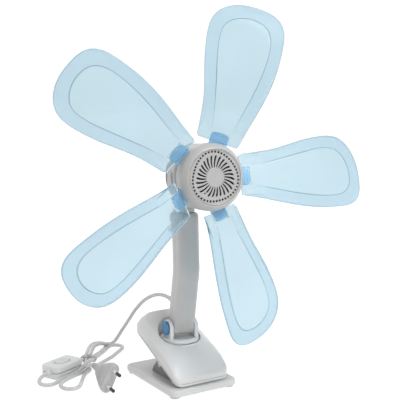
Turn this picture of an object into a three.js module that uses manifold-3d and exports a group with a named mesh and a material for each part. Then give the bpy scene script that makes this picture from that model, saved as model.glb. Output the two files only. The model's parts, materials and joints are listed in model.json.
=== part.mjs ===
// Clip-on desk fan: spring clip, swivelling turntable, bent arm, tilting motor head and five soft blades.
// Millimetres, +Z up. The front of the fan faces -Y, and it stands on z = 0.

import * as THREE from 'three';
import { mergeVertices } from 'three/addons/utils/BufferGeometryUtils.js';
import Module from 'manifold-3d';

const wasm = await Module();
wasm.setup();

// ---------------------------------------------------------------- driving dimensions
const GAP = 0.3;                       // clearance between touching pieces
const PAN = THREE.MathUtils.degToRad(-8);       // turntable turned to the fan's right
const HEAD_TILT = THREE.MathUtils.degToRad(-4.5); // motor head looking slightly up

const PLATE = { width: 88, front: -60, back: 57, bottom: 2.4, top: 10, corner: 9 };
const FOOT = { radius: 6, x: 36, front: -51, back: 48, sink: 1 };
const WEIGHT = { width: 56, front: -52, back: 49, bottom: 3, top: 7.6 };  // steel plate let in from below
const HINGE = { y: -2, z: 24, radius: 2.5, halfWidth: 27 };
const JAW = { rim: 36, front: -54, back: 46, wall: 2.6, slope: 0.427, keel: 34.2 };
const SEAT = { radius: 25.5, z: 48.8 };           // round seat of the turntable in the jaw
const TABLE_DISC = { radius: 23, bottom: 49.1, top: 54.4 };
const PIVOT = { forward: 6, z: 66.5, bolt: 3, ear: 9.8, earInner: 13.2, earOuter: 17.8 };
const ARM = { width: 26, depth: 30, wall: 2.4, bottom: 78, bend: 138, top: 206,
  bendForward: 21.5, topForward: 18 };
const FOOT_BARREL = { radius: 8.8, width: 25.6 };
const TILT = { forward: 18, z: 247.7, radius: 12, tongue: 7, earInner: 7.4, earOuter: 12.4, pin: 3 };
const HOUSING = { radius: 36, back: 23, split: 45, front: 57, wall: 2.4 };
const SHAFT = { radius: 3, back: 25.8, front: 76 };
const BEARING = { radius: 8, length: 5, rear: 26.2, front: 51.4 };
const STATOR = { outer: 33.2, inner: 15.6, back: 35, front: 48, screw: 30.4 };
const CORE = { radius: 15, back: 34.5, front: 48.5 };
const DOME = { radius: 36.7, back: 62.4, shoulder: 74.4, face: 83.2, opening: 30, wall: 2.2 };
const GRILLE = { radius: 29.6, back: 81.1, slots: 27, slotInner: 10.4, slotOuter: 22.1, swirl: -0.14,
  lobe: 0.07, lobeAngle: THREE.MathUtils.degToRad(100) };   // the slots end on a soft three-lobed outline
const BLADES = 5;
const BLADE = { plane: 66, pitch: THREE.MathUtils.degToRad(-19.6), cone: THREE.MathUtils.degToRad(8.5),
  first: THREE.MathUtils.degToRad(-1), pivot: 42, bow: 0.0011, thickness: 2, root: 38.2,
  pad: 58, padBack: -3.6, padFront: 1.4 };           // bow: how fast the blade curves back towards its tip
const TAB = { width: 20, back: -3.2, front: -0.6, outer: 49, inner: 29 };
const GLAND = { z: 88, neck: 3.6, flange: 5.4, inside: 1.8, outside: 9 };
const CORD = { radius: 2.3 };
const SWITCH = { length: 47, width: 29, height: 15.6, x: -112, y: 91, turn: THREE.MathUtils.degToRad(24) };
const PLUG = { x: -91, y: 1, z: 16.8, lean: THREE.MathUtils.degToRad(25), turn: THREE.MathUtils.degToRad(-4),
  half: 17.5, thick: 14, length: 35, pin: 19, spread: 18.6 };

// ---------------------------------------------------------------- looks
const white = { color: 0xdcdbd8, roughness: 0.35, metalness: 0 };
const lightGrey = { color: 0xc9c8c5, roughness: 0.45, metalness: 0 };
const darkGrey = { color: 0x5f6062, roughness: 0.5, metalness: 0 };
const rubber = { color: 0xb4b3b0, roughness: 0.8, metalness: 0 };
const steel = { color: 0xa9adb2, roughness: 0.3, metalness: 1 };
const copper = { color: 0xb4703c, roughness: 0.4, metalness: 1 };
const hubBlue = { color: 0x4f86bd, roughness: 0.3, metalness: 0 };
const bladeBlue = { color: 0xb9dcec, roughness: 0.25, metalness: 0, transparent: true, opacity: 0.75 };

// ---------------------------------------------------------------- helpers
function signedVolume(position, index) {
  const a = new THREE.Vector3();
  const b = new THREE.Vector3();
  const c = new THREE.Vector3();
  let volume = 0;
  for (let i = 0; i < index.length; i += 3) {
    a.fromBufferAttribute(position, index[i]);
    b.fromBufferAttribute(position, index[i + 1]);
    c.fromBufferAttribute(position, index[i + 2]);
    volume += a.dot(b.cross(c)) / 6;
  }
  return volume;
}

// One closed mesh with shared corners, no empty triangles and its faces pointing out.
function closed(geometry) {
  const bare = new THREE.BufferGeometry();
  bare.setAttribute('position', geometry.getAttribute('position'));
  if (geometry.index) bare.setIndex(geometry.index);
  const merged = mergeVertices(bare, 1e-4);
  const kept = [];
  const index = merged.index.array;
  for (let i = 0; i < index.length; i += 3) {
    const [a, b, c] = [index[i], index[i + 1], index[i + 2]];
    if (a !== b && b !== c && a !== c) kept.push(a, b, c);
  }
  if (signedVolume(merged.getAttribute('position'), kept) < 0) kept.reverse();
  merged.setIndex(kept);
  return merged;
}

function solid(geometry) {
  const merged = closed(geometry);
  return new wasm.Manifold(new wasm.Mesh({
    numProp: 3,
    vertProperties: new Float32Array(merged.getAttribute('position').array),
    triVerts: new Uint32Array(merged.index.array),
  }));
}

function geometryOf(manifold) {
  const mesh = manifold.getMesh();
  const geometry = new THREE.BufferGeometry();
  geometry.setAttribute('position', new THREE.BufferAttribute(mesh.vertProperties, 3));
  geometry.setIndex(new THREE.BufferAttribute(mesh.triVerts, 1));
  return geometry;
}

function join(first, ...others) {
  return geometryOf(others.reduce((sum, other) => sum.add(solid(other)), solid(first)));
}

function cut(first, ...others) {
  return geometryOf(others.reduce((sum, other) => sum.subtract(solid(other)), solid(first)));
}

function common(first, ...others) {
  return geometryOf(others.reduce((sum, other) => sum.intersect(solid(other)), solid(first)));
}

function box(x0, x1, y0, y1, z0, z1) {
  return new THREE.BoxGeometry(x1 - x0, y1 - y0, z1 - z0)
    .translate((x0 + x1) / 2, (y0 + y1) / 2, (z0 + z1) / 2);
}

// Upright cylinder between two heights.
function rod(radius, z0, z1, segments = 20) {
  return new THREE.CylinderGeometry(radius, radius, z1 - z0, segments)
    .rotateX(Math.PI / 2)
    .translate(0, 0, (z0 + z1) / 2);
}

// Cylinder along X at a place in the YZ plane.
function crossRod(radius, x0, x1, y, z, segments = 20) {
  return new THREE.CylinderGeometry(radius, radius, x1 - x0, segments)
    .rotateZ(Math.PI / 2)
    .translate((x0 + x1) / 2, y, z);
}

// Body of revolution about Z from [radius, height] pairs. A profile off the axis closes on itself.
function turned(profile, segments = 40) {
  const points = profile.map(([r, z]) => new THREE.Vector2(r, z));
  const onAxis = profile[0][0] === 0 && profile.at(-1)[0] === 0;
  if (!onAxis) points.push(points[0].clone());
  return new THREE.LatheGeometry(points, segments).rotateX(Math.PI / 2);
}

function ring(outer, inner, z0, z1, segments = 24) {
  return turned([[inner, z0], [outer, z0], [outer, z1], [inner, z1]], segments);
}

function roundedRectangle(x0, x1, y0, y1, r) {
  const shape = new THREE.Shape();
  shape.moveTo(x0 + r, y0);
  shape.lineTo(x1 - r, y0);
  shape.absarc(x1 - r, y0 + r, r, -Math.PI / 2, 0);
  shape.lineTo(x1, y1 - r);
  shape.absarc(x1 - r, y1 - r, r, 0, Math.PI / 2);
  shape.lineTo(x0 + r, y1);
  shape.absarc(x0 + r, y1 - r, r, Math.PI / 2, Math.PI);
  shape.lineTo(x0, y0 + r);
  shape.absarc(x0 + r, y0 + r, r, Math.PI, Math.PI * 1.5);
  return shape;
}

function slab(shape, z0, z1, segments = 4) {
  return new THREE.ExtrudeGeometry(shape, { depth: z1 - z0, bevelEnabled: false, curveSegments: segments })
    .translate(0, 0, z0);
}

// A shape drawn as (forward, up), extruded along X. Forward is -Y.
function sideSlab(shape, x0, x1, bevel = 0, segments = 5) {
  const options = { depth: x1 - x0 - 2 * bevel, curveSegments: segments, bevelEnabled: bevel > 0,
    bevelThickness: bevel, bevelSize: bevel, bevelOffset: -bevel, bevelSegments: 2 };
  return new THREE.ExtrudeGeometry(shape, options)
    .translate(0, 0, x0 + bevel)
    .applyMatrix4(new THREE.Matrix4().makeBasis(
      new THREE.Vector3(0, -1, 0), new THREE.Vector3(0, 0, 1), new THREE.Vector3(-1, 0, 0)))
    .translate(x0 + x1, 0, 0);
}

// Skin through equal rings of points, closed by a flat fan at each end.
function loft(rings) {
  const count = rings[0].length;
  const corners = rings.flat();
  const index = [];
  for (let k = 0; k + 1 < rings.length; k += 1) {
    for (let i = 0; i < count; i += 1) {
      const a = k * count + i;
      const b = k * count + (i + 1) % count;
      index.push(a, b, b + count, a, b + count, a + count);
    }
  }
  const last = (rings.length - 1) * count;
  for (let i = 1; i + 1 < count; i += 1) {
    index.push(0, i + 1, i);
    index.push(last, last + i, last + i + 1);
  }
  const geometry = new THREE.BufferGeometry();
  geometry.setAttribute('position', new THREE.Float32BufferAttribute(corners.flat(), 3));
  geometry.setIndex(index);
  return geometry;
}

function add(parent, name, geometry, look, position = [0, 0, 0]) {
  const mesh = new THREE.Mesh(closed(geometry), new THREE.MeshStandardMaterial(look));
  mesh.name = name;
  mesh.position.set(...position);
  parent.add(mesh);
  return mesh;
}

// Straight-line value between listed [place, value] pairs.
function along(pairs, place) {
  const above = pairs.findIndex(([p]) => p >= place);
  const i = above < 0 ? pairs.length - 1 : Math.max(1, above);
  const [p0, v0] = pairs[i - 1];
  const [p1, v1] = pairs[i];
  return v0 + (v1 - v0) * (place - p0) / (p1 - p0);
}

// ---------------------------------------------------------------- clip: lower jaw
function basePlate() {
  const half = PLATE.width / 2;
  const outline = roundedRectangle(-half, half, PLATE.front, PLATE.back, PLATE.corner);
  const chamfer = 2.2;
  const inner = roundedRectangle(-half + chamfer, half - chamfer, PLATE.front + chamfer,
    PLATE.back - chamfer, PLATE.corner - chamfer);
  const lower = slab(outline, PLATE.bottom, PLATE.top - chamfer);
  const upper = slab(inner, PLATE.top - chamfer - 0.5, PLATE.top);
  const sockets = footPlaces().map(([x, y]) => rod(FOOT.radius + GAP, 0, PLATE.bottom + FOOT.sink, 16)
    .translate(x, y, 0));
  const recess = box(-WEIGHT.width / 2 - GAP, WEIGHT.width / 2 + GAP, WEIGHT.front - GAP, WEIGHT.back + GAP,
    0, WEIGHT.top + GAP);
  return cut(join(lower, upper), ...sockets, recess);
}

function footPlaces() {
  return [[-FOOT.x, FOOT.front], [FOOT.x, FOOT.front], [-FOOT.x, FOOT.back], [FOOT.x, FOOT.back]];
}

function foot() {
  const top = PLATE.bottom + FOOT.sink - GAP;
  return turned([[0, 0], [FOOT.radius - 1, 0], [FOOT.radius, 1], [FOOT.radius, top], [0, top]], 16);
}

function hingeBracket() {
  const bottom = PLATE.top + GAP;
  const side = new THREE.Shape();
  side.moveTo(-18, bottom);
  side.lineTo(26, bottom);
  side.lineTo(22, bottom + 6);
  side.lineTo(-HINGE.y + 7, HINGE.z + 2);
  side.absarc(-HINGE.y, HINGE.z, 7.5, 0.3, 2.6);
  side.lineTo(-16, bottom + 5);
  const x = HINGE.halfWidth;
  const cheeks = [sideSlab(side, -x, -x + 3.4), sideSlab(side, x - 3.4, x)];
  const floor = box(-x + 1, x - 1, -26, 18, bottom, bottom + 2.4);
  const hole = crossRod(HINGE.radius + 0.1, -x - 2, x + 2, HINGE.y, HINGE.z, 16);
  return cut(join(floor, ...cheeks), hole);
}

function hingePin() {
  const x = HINGE.halfWidth;
  const shank = crossRod(HINGE.radius, -x - 0.4, x + 0.4, HINGE.y, HINGE.z, 16);
  const heads = [-1, 1].map((s) => s * (x + 1.1))
    .map((middle) => crossRod(4, middle - 0.8, middle + 0.8, HINGE.y, HINGE.z, 16));
  return join(shank, ...heads);
}

function buildBase(parent) {
  add(parent, 'base_plate', basePlate(), white);
  add(parent, 'base_weight', box(-WEIGHT.width / 2, WEIGHT.width / 2, WEIGHT.front, WEIGHT.back,
    WEIGHT.bottom, WEIGHT.top), steel);
  footPlaces().forEach(([x, y], i) => {
    add(parent, ['foot_front_left', 'foot_front_right', 'foot_rear_left', 'foot_rear_right'][i], foot(),
      rubber, [x, y, 0]);
  });
  const outline = roundedRectangle(-31, 31, -50, -28, 6);
  add(parent, 'lower_pad', slab(outline, PLATE.top + GAP, PLATE.top + 2), rubber);
  add(parent, 'hinge_bracket', hingeBracket(), darkGrey);
  add(parent, 'hinge_pin', hingePin(), steel);
}

// ---------------------------------------------------------------- clip: upper jaw (handle lever)
const JAW_TOP = [[-54, 20.5], [-47, 28.5], [-35, 40], [-20, 49.3], [0, 57.5], [20, 67], [33, 77.5]];
const JAW_RIM = [[-54, 19], [-47, 25.5], [-35, 34.5], [-20, 41], [0, 49], [33, 61.5]];
const JAW_FLAT = [[-54, 27], [-35, 25], [-20, 20], [0, 16.5], [33, 20]];
const HANDLE = { y: 33, z: 64.5, radius: 13 };
const LIP_PAD = { front: -50, back: -44, half: 27.5, depth: 1.6 };

// Height of the jaw's lower edge.
function keel(y) {
  return JAW.keel + JAW.slope * y;
}

function jawSection(y, inset) {
  const round = 8;
  const fromFront = y - JAW.front;
  const fromBack = JAW.back - y;
  const edge = Math.min(fromFront, fromBack, round);
  const rim = JAW.rim - round + Math.sqrt(Math.max(0, round ** 2 - (round - edge) ** 2)) - inset;
  let top = along(JAW_TOP, Math.min(y, HANDLE.y));
  let middle = along(JAW_RIM, Math.min(y, HANDLE.y));
  let bottom = keel(Math.min(y, HANDLE.y));
  if (y > HANDLE.y) {
    const arc = Math.sqrt(Math.max(0, HANDLE.radius ** 2 - (y - HANDLE.y) ** 2));
    top = HANDLE.z + arc;
    middle = HANDLE.z - 2.5 * arc / HANDLE.radius;
    bottom = Math.max(bottom, HANDLE.z - arc * 1.2);
  }
  top -= inset;
  middle -= inset * 0.6;
  const flat = Math.min(along(JAW_FLAT, Math.min(y, HANDLE.y)), rim - 6) - inset * 0.4;
  const shoulder = { x: flat + (rim - flat) * 0.55, z: middle + (top - middle) * 0.66 };
  const low = inset > 0 ? bottom - 12 : bottom;
  const half = [[rim - 1.2, low], [rim, Math.min(low + 2, middle)], [rim, middle], [shoulder.x, shoulder.z],
    [flat, top - 0.4], [flat * 0.5, top]];
  const right = half.map(([x, z]) => [x, y, z]);
  const left = half.map(([x, z]) => [-x, y, z]).reverse();
  return [...right, ...left];
}

function upperJaw() {
  const ends = [0, 1, 3, 6];
  const places = [...ends.map((d) => JAW.front + d), -44, -35, -20, 0, 20, HANDLE.y, 38, 42, 44.6,
    JAW.back - 0.3];
  const outer = loft(places.map((y) => jawSection(y, 0)));
  const wall = JAW.wall;
  const innerPlaces = [-42.5, -35, -20, 0, 20, HANDLE.y, 39, JAW.back - wall];
  const inner = loft(innerPlaces.map((y) => jawSection(y, wall)));
  const shell = cut(outer, inner);
  const cup = common(outer, rod(SEAT.radius + 2.4, SEAT.z - 2.6, 100, 24));
  const boss = rod(SEAT.radius - 0.4, SEAT.z - 6, SEAT.z, 24);
  const pocket = rod(SEAT.radius, SEAT.z, 100, 24);
  const spigotHole = rod(5, SEAT.z - 20, SEAT.z + 1, 20);
  return cut(join(shell, cup, boss), pocket, spigotHole, lipPadBlock(GAP, -3));
}

// Block that follows the jaw's sloping lower edge behind the lip.
function lipPadBlock(extra, low) {
  const y0 = LIP_PAD.front - extra;
  const y1 = LIP_PAD.back + extra;
  const top = LIP_PAD.depth + extra;
  const side = new THREE.Shape([[-y1, keel(y1) + low], [-y0, keel(y0) + low], [-y0, keel(y0) + top],
    [-y1, keel(y1) + top]].map(([f, z]) => new THREE.Vector2(f, z)));
  return sideSlab(side, -LIP_PAD.half - extra, LIP_PAD.half + extra);
}

// Inner lever frame that turns on the hinge pin and carries the shell.
function jawBracket() {
  const bridgeTop = SEAT.z - 6 - GAP;
  const side = new THREE.Shape();
  side.moveTo(-HINGE.y - 7, HINGE.z + 1);
  side.absarc(-HINGE.y, HINGE.z, 6.5, Math.PI * 0.95, Math.PI * 2.05);
  side.lineTo(12, bridgeTop - 3);
  side.lineTo(12, bridgeTop);
  side.lineTo(-13, bridgeTop);
  side.lineTo(-13, bridgeTop - 5);
  const x = HINGE.halfWidth - 4;
  const cheeks = [sideSlab(side, -x, -x + 3), sideSlab(side, x - 3, x)];
  const bridge = box(-x + 1, x - 1, -12, 13, bridgeTop - 3, bridgeTop);
  const hole = crossRod(HINGE.radius + 0.1, -x - 2, x + 2, HINGE.y, HINGE.z, 16);
  return cut(join(bridge, ...cheeks), hole, rod(10, 30, 60, 24));
}

function clipSpring() {
  const coilRadius = 4.6;
  const turns = 4;
  const points = [];
  const steps = 6;
  points.push(new THREE.Vector3(-9, HINGE.y + 20, 14.6));
  for (let i = 0; i <= turns * steps; i += 1) {
    const angle = -Math.PI / 2 + (i / steps) * Math.PI * 2;
    const x = -8 + (16 * i) / (turns * steps);
    points.push(new THREE.Vector3(x, HINGE.y - coilRadius * Math.cos(angle + Math.PI), HINGE.z
      + coilRadius * Math.sin(angle)));
  }
  points.push(new THREE.Vector3(9, HINGE.y + 16, 34.5));
  const path = new THREE.CatmullRomCurve3(points, false, 'centripetal');
  const wire = new THREE.Shape();
  wire.absarc(0, 0, 0.9, 0, Math.PI * 2);
  return new THREE.ExtrudeGeometry(wire, { steps: 32, extrudePath: path, curveSegments: 2 });
}

function buildJaw(parent) {
  add(parent, 'upper_jaw', upperJaw(), white);
  add(parent, 'upper_pad', lipPadBlock(0, 0), rubber);
  add(parent, 'jaw_bracket', jawBracket(), darkGrey);
  add(parent, 'clip_spring', clipSpring(), steel);
}

// ---------------------------------------------------------------- turntable and pivot
function turntable() {
  const disc = turned([[0, TABLE_DISC.bottom], [TABLE_DISC.radius - 0.8, TABLE_DISC.bottom],
    [TABLE_DISC.radius, TABLE_DISC.bottom + 1], [TABLE_DISC.radius, TABLE_DISC.top - 1.6],
    [TABLE_DISC.radius - 1.6, TABLE_DISC.top], [0, TABLE_DISC.top]], 24);
  const spigot = rod(4.6, SEAT.z - 6.3, TABLE_DISC.bottom + 1, 20);
  const side = new THREE.Shape();
  side.moveTo(PIVOT.forward + PIVOT.ear, TABLE_DISC.top - 0.6);
  side.lineTo(PIVOT.forward + PIVOT.ear, PIVOT.z);
  side.absarc(PIVOT.forward, PIVOT.z, PIVOT.ear, 0, Math.PI);
  side.lineTo(PIVOT.forward - PIVOT.ear, TABLE_DISC.top - 0.6);
  const ears = [sideSlab(side, PIVOT.earInner, PIVOT.earOuter, 0, 8),
    sideSlab(side, -PIVOT.earOuter, -PIVOT.earInner, 0, 8)];
  const rounded = ears.map((ear) => common(ear, rod(TABLE_DISC.radius - 0.4, 40, 90, 24)));
  const hole = crossRod(PIVOT.bolt + 0.1, -30, 30, -PIVOT.forward, PIVOT.z, 16);
  const screwHole = rod(1.6, 30, SEAT.z, 12);
  return cut(join(disc, spigot, ...rounded), hole, screwHole);
}

function turntableScrew() {
  const head = SEAT.z - 8.6;
  return join(rod(1.5, head - 1, SEAT.z - 0.6, 12), rod(3.6, head - 2.2, head, 16));
}

function pivotBolt() {
  return crossRod(PIVOT.bolt, -PIVOT.earOuter - 0.5, PIVOT.earOuter + 0.5, -PIVOT.forward, PIVOT.z, 16);
}

function pivotCap(side, height, radius) {
  const inner = PIVOT.earOuter + 0.8;
  const outer = inner + height;
  const cap = turned([[0, inner], [radius - 0.4, inner], [radius, inner + 0.4], [radius, outer - 0.8],
    [radius - 0.8, inner + height], [0, inner + height]], 18);
  return cap.rotateY(side * Math.PI / 2).translate(0, -PIVOT.forward, PIVOT.z);
}

function buildTurntable(parent) {
  add(parent, 'turntable', turntable(), white);
  add(parent, 'turntable_washer', ring(8.5, 1.9, SEAT.z - 8.3, SEAT.z - 6.6, 24), steel);
  add(parent, 'turntable_screw', turntableScrew(), steel);
  add(parent, 'pivot_bolt', pivotBolt(), steel);
  add(parent, 'pivot_cap_left', pivotCap(-1, 3, 8.6), hubBlue);
  add(parent, 'pivot_cap_right', pivotCap(1, 1.2, 6), hubBlue);
}

// ---------------------------------------------------------------- arm
const ARM_LINE = [[PIVOT.z, PIVOT.forward], [ARM.bend, ARM.bendForward], [ARM.top, ARM.topForward]];

// Side view of the arm's body, (forward, up), narrowed by an inset all round.
function armSide(inset, from = ARM.bottom, to = ARM.top, frontLimit = Infinity, backLimit = -Infinity) {
  const half = ARM.depth / 2 - inset;
  const heights = [from + inset, ARM.bend, to - inset];
  const frontReach = Math.min(half, frontLimit);
  const backReach = Math.max(-half, backLimit);
  const frontEdge = heights.map((z) => [along(ARM_LINE, z) + frontReach, z]);
  const backEdge = heights.map((z) => [along(ARM_LINE, z) + backReach, z]);
  return new THREE.Shape([...frontEdge, ...backEdge.reverse()].map(([f, z]) => new THREE.Vector2(f, z)));
}

function armBody() {
  const half = ARM.width / 2;
  const outer = sideSlab(armSide(0), -half, half, 6);
  const inner = sideSlab(armSide(ARM.wall), -half + ARM.wall, half - ARM.wall, 4);
  return cut(outer, inner);
}

function armHalf(front) {
  const limits = front ? [Infinity, GAP / 2] : [-GAP / 2, -Infinity];
  const reach = armSide(-3, ARM.bottom, ARM.top, ...limits);
  return sideSlab(reach, -ARM.width, ARM.width);
}

const ARM_SCREWS = [106, ARM.bend + 6, 188];

// Cylinder that runs forward from the arm's back face at a height.
function armCrossRod(radius, z, from, to, segments = 14) {
  const forward = along(ARM_LINE, z);
  return new THREE.CylinderGeometry(radius, radius, to - from, segments)
    .translate(0, -(forward + (from + to) / 2), z);
}

// Puts a piece drawn standing on z = 0 against the sloping back of the lower arm.
function onArmBack(geometry, z) {
  const slope = Math.atan2(ARM.bendForward - PIVOT.forward, ARM.bend - PIVOT.z);
  return geometry.rotateX(slope - Math.PI / 2).translate(0, ARM.depth / 2 - along(ARM_LINE, z), z);
}

function armFrontShell() {
  const posts = ARM_SCREWS.map((z) => armCrossRod(3.4, z, 0.2, ARM.depth / 2 - 1.5, 12));
  const holes = ARM_SCREWS.map((z) => armCrossRod(1.2, z, -1, 7, 10));
  return cut(join(common(armBody(), armHalf(true)), ...posts), ...holes);
}

function armRearShell() {
  const shell = common(armBody(), armHalf(false));
  const barrel = crossRod(FOOT_BARREL.radius, -FOOT_BARREL.width / 2, FOOT_BARREL.width / 2,
    -PIVOT.forward, PIVOT.z, 24);
  const seam = along(ARM_LINE, ARM.bottom) - GAP;
  const taper = new THREE.Shape();
  taper.moveTo(PIVOT.forward - 8, PIVOT.z);
  taper.lineTo(PIVOT.forward + 8.2, PIVOT.z - 3);
  taper.lineTo(seam + ARM.depth / 2 - 1, ARM.bottom - GAP);
  taper.lineTo(seam, ARM.bottom - GAP);
  taper.lineTo(seam, ARM.bottom + 3);
  taper.lineTo(PIVOT.forward - 10, ARM.bottom + 3);
  const neck = sideSlab(taper, -FOOT_BARREL.width / 2, FOOT_BARREL.width / 2);
  const tongue = new THREE.Shape();
  tongue.moveTo(TILT.forward + TILT.radius, ARM.top + GAP);
  tongue.lineTo(TILT.forward + TILT.radius, TILT.z);
  tongue.absarc(TILT.forward, TILT.z, TILT.radius, 0, Math.PI);
  tongue.lineTo(TILT.forward - TILT.radius, ARM.top - 9);
  tongue.lineTo(TILT.forward - 2, ARM.top - 9);
  tongue.lineTo(TILT.forward - 2, ARM.top + GAP);
  const lower = join(shell, neck, barrel, sideSlab(tongue, -TILT.tongue, TILT.tongue, 0, 8));
  const screws = ARM_SCREWS.map((z) => armCrossRod(1.7, z, -20, -ARM.depth / 2 + 6, 12));
  const heads = ARM_SCREWS.map((z) => armCrossRod(3.4, z, -20, -ARM.depth / 2 + 1.2, 14));
  const glandHole = onArmBack(rod(GLAND.neck + GAP, -5, 5, 14), GLAND.z);
  const pivotHole = crossRod(PIVOT.bolt + 0.1, -30, 30, -PIVOT.forward, PIVOT.z, 16);
  const tiltHole = crossRod(TILT.pin + 0.1, -30, 30, -TILT.forward, TILT.z, 16);
  return cut(lower, ...screws, ...heads, glandHole, pivotHole, tiltHole);
}

function armScrew(z) {
  const back = -ARM.depth / 2;
  return join(armCrossRod(1.1, z, back, 6, 10), armCrossRod(3, z, back - 0.6, back + 0.9, 14));
}

function buildArm(parent) {
  add(parent, 'arm_front_shell', armFrontShell(), lightGrey);
  add(parent, 'arm_rear_shell', armRearShell(), lightGrey);
  ARM_SCREWS.forEach((z, i) => add(parent, `arm_screw_${i + 1}`, armScrew(z), steel));
}

// ---------------------------------------------------------------- motor head (axis along y, from the tilt pin)
function facing(geometry) {
  return geometry.rotateX(Math.PI / 2);
}

function motorRearCover() {
  const { radius, back, split, wall } = HOUSING;
  const drum = turned([[0, back], [radius - 6.5, back], [radius - 2, back + 3.4], [radius, back + 8],
    [radius, split], [radius - wall, split], [radius - wall, back + 9], [radius - wall - 1.8, back + 5.2],
    [radius - wall - 5, back + wall], [0, back + wall]], 24);
  const seatFront = BEARING.rear + BEARING.length;
  const seat = ring(BEARING.radius + 2.4, BEARING.radius + 0.2, back + 1, seatFront, 16);
  const posts = [-STATOR.screw, STATOR.screw]
    .map((x) => rod(3.3, back + 2, STATOR.back - GAP, 14).translate(x, 0, 0));
  const trimmed = posts.map((post) => common(post, rod(radius - 1, 0, 60, 24)));
  const bores = [-1, 1].map((s) => rod(1.7, back - 2, 60, 12).translate(s * STATOR.screw, 0, 0));
  const sinks = [-1, 1].map((s) => rod(3, back - 5, back + 3.4, 14).translate(s * STATOR.screw, 0, 0));
  const vents = [];
  for (let i = 0; i < 10; i += 1) {
    const angle = (i + 0.5) * Math.PI / 5;
    if (Math.abs(Math.cos(angle)) < 0.93) {
      vents.push(box(14.5, 25, -1.4, 1.4, back - 1, back + wall + 1).rotateZ(angle));
    }
  }
  const ear = new THREE.Shape();
  ear.moveTo(back + 1.2, -TILT.radius);
  ear.lineTo(back + 1.2, TILT.radius);
  ear.lineTo(0, TILT.radius);
  ear.absarc(0, 0, TILT.radius, Math.PI / 2, Math.PI * 1.5);
  const ears = [sideSlab(ear, TILT.earInner, TILT.earOuter, 0, 8),
    sideSlab(ear, -TILT.earOuter, -TILT.earInner, 0, 8)];
  const pinHole = crossRod(TILT.pin + 0.1, -30, 30, 0, 0, 16);
  const housing = facing(cut(join(drum, seat, ...trimmed), ...bores, ...sinks, ...vents));
  return cut(join(housing, ...ears), pinHole);
}

function motorFrontCover() {
  const { radius, split, front, wall } = HOUSING;
  const opening = BEARING.radius + 0.2;
  return facing(turned([[opening, BEARING.front - 0.6], [opening + 2.2, BEARING.front - 0.6],
    [opening + 2.2, front - wall], [radius - wall - 2, front - wall], [radius - wall, front - wall - 2],
    [radius - wall, split + GAP], [radius, split + GAP], [radius, front - 2.4], [radius - 2.4, front],
    [opening, front]], 24));
}

function tiltPin() {
  const shank = crossRod(TILT.pin, -TILT.earOuter - 0.4, TILT.earOuter + 0.4, 0, 0, 16);
  const heads = [-1, 1].map((s) => crossRod(5, s * (TILT.earOuter + 1) - 0.7, s * (TILT.earOuter + 1) + 0.7,
    0, 0, 20));
  return join(shank, ...heads);
}

function statorCore() {
  const core = ring(STATOR.outer, STATOR.inner, STATOR.back, STATOR.front, 24);
  const bores = [-1, 1].map((s) => rod(1.7, 0, 60, 12).translate(s * STATOR.screw, 0, 0));
  return facing(cut(core, ...bores));
}

function winding(from, to) {
  const soft = 1;
  return facing(turned([[17.5 + soft, from], [26.5 - soft, from], [26.5, from + soft], [26.5, to - soft],
    [26.5 - soft, to], [17.5 + soft, to], [17.5, to - soft], [17.5, from + soft]], 16));
}

function bearing(from) {
  return facing(ring(BEARING.radius, SHAFT.radius + 0.1, from, from + BEARING.length, 16));
}

function motorScrew(side) {
  const head = HOUSING.back + 3.1;
  const screw = join(rod(1.4, head - 1, STATOR.back + 8, 12), rod(2.7, head - 1.8, head, 14));
  return facing(screw.translate(side * STATOR.screw, 0, 0));
}

function buildHead(parent) {
  add(parent, 'motor_rear_cover', motorRearCover(), lightGrey);
  add(parent, 'motor_front_cover', motorFrontCover(), lightGrey);
  add(parent, 'tilt_pin', tiltPin(), steel);
  add(parent, 'stator_core', statorCore(), steel);
  add(parent, 'winding_rear', winding(STATOR.back - 4, STATOR.back - GAP), copper);
  add(parent, 'winding_front', winding(STATOR.front + GAP, STATOR.front + 4), copper);
  add(parent, 'bearing_rear', bearing(BEARING.rear), steel);
  add(parent, 'bearing_front', bearing(BEARING.front), steel);
  add(parent, 'motor_screw_left', motorScrew(-1), steel);
  add(parent, 'motor_screw_right', motorScrew(1), steel);
}

// ---------------------------------------------------------------- rotor (z forward, from the tilt pin)
// Puts a piece drawn on the blade's own plane (x out, y counter-clockwise, z forward) in its place.
function onBlade(geometry, index) {
  return geometry.translate(-BLADE.pivot, 0, 0)
    .rotateX(BLADE.pitch)
    .rotateY(-BLADE.cone)
    .translate(BLADE.pivot, 0, BLADE.plane)
    .rotateZ(BLADE.first + index * 2 * Math.PI / BLADES);
}

// Leading and trailing edge of a blade: [distance from the axis, place across the blade].
const BLADE_LEADING = [[38.2, -20], [40, -22.2], [42, -23], [60, -26.2], [80, -30.6], [100, -34.4],
  [118, -36.4], [134, -36.8], [150, -35.8], [163, -34.4], [172, -32.2], [178, -29.3],
  [183, -25.2], [186.6, -20], [189, -13],
  [190.1, -5], [190.4, 2]];
const BLADE_TRAILING = [[38.2, 22], [40, 24.4], [42, 25.4], [60, 27.6], [80, 31.4], [100, 37.4],
  [118, 43.2], [134, 47.4], [146, 49.6], [157, 50.2], [165, 49.6], [171, 47], [176, 43.2],
  [181, 38], [185, 31], [188, 22.6],
  [189.8, 13], [190.4, 4]];

// Place across the blade on one of its edges.
function edgeAt(edge, out) {
  const next = Math.max(1, edge.findIndex((p) => p[0] >= out));
  const [[x0, y0], [x1, y1]] = [edge[next - 1], edge[next]];
  return y0 + (y1 - y0) * (out - x0) / (x1 - x0);
}

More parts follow.
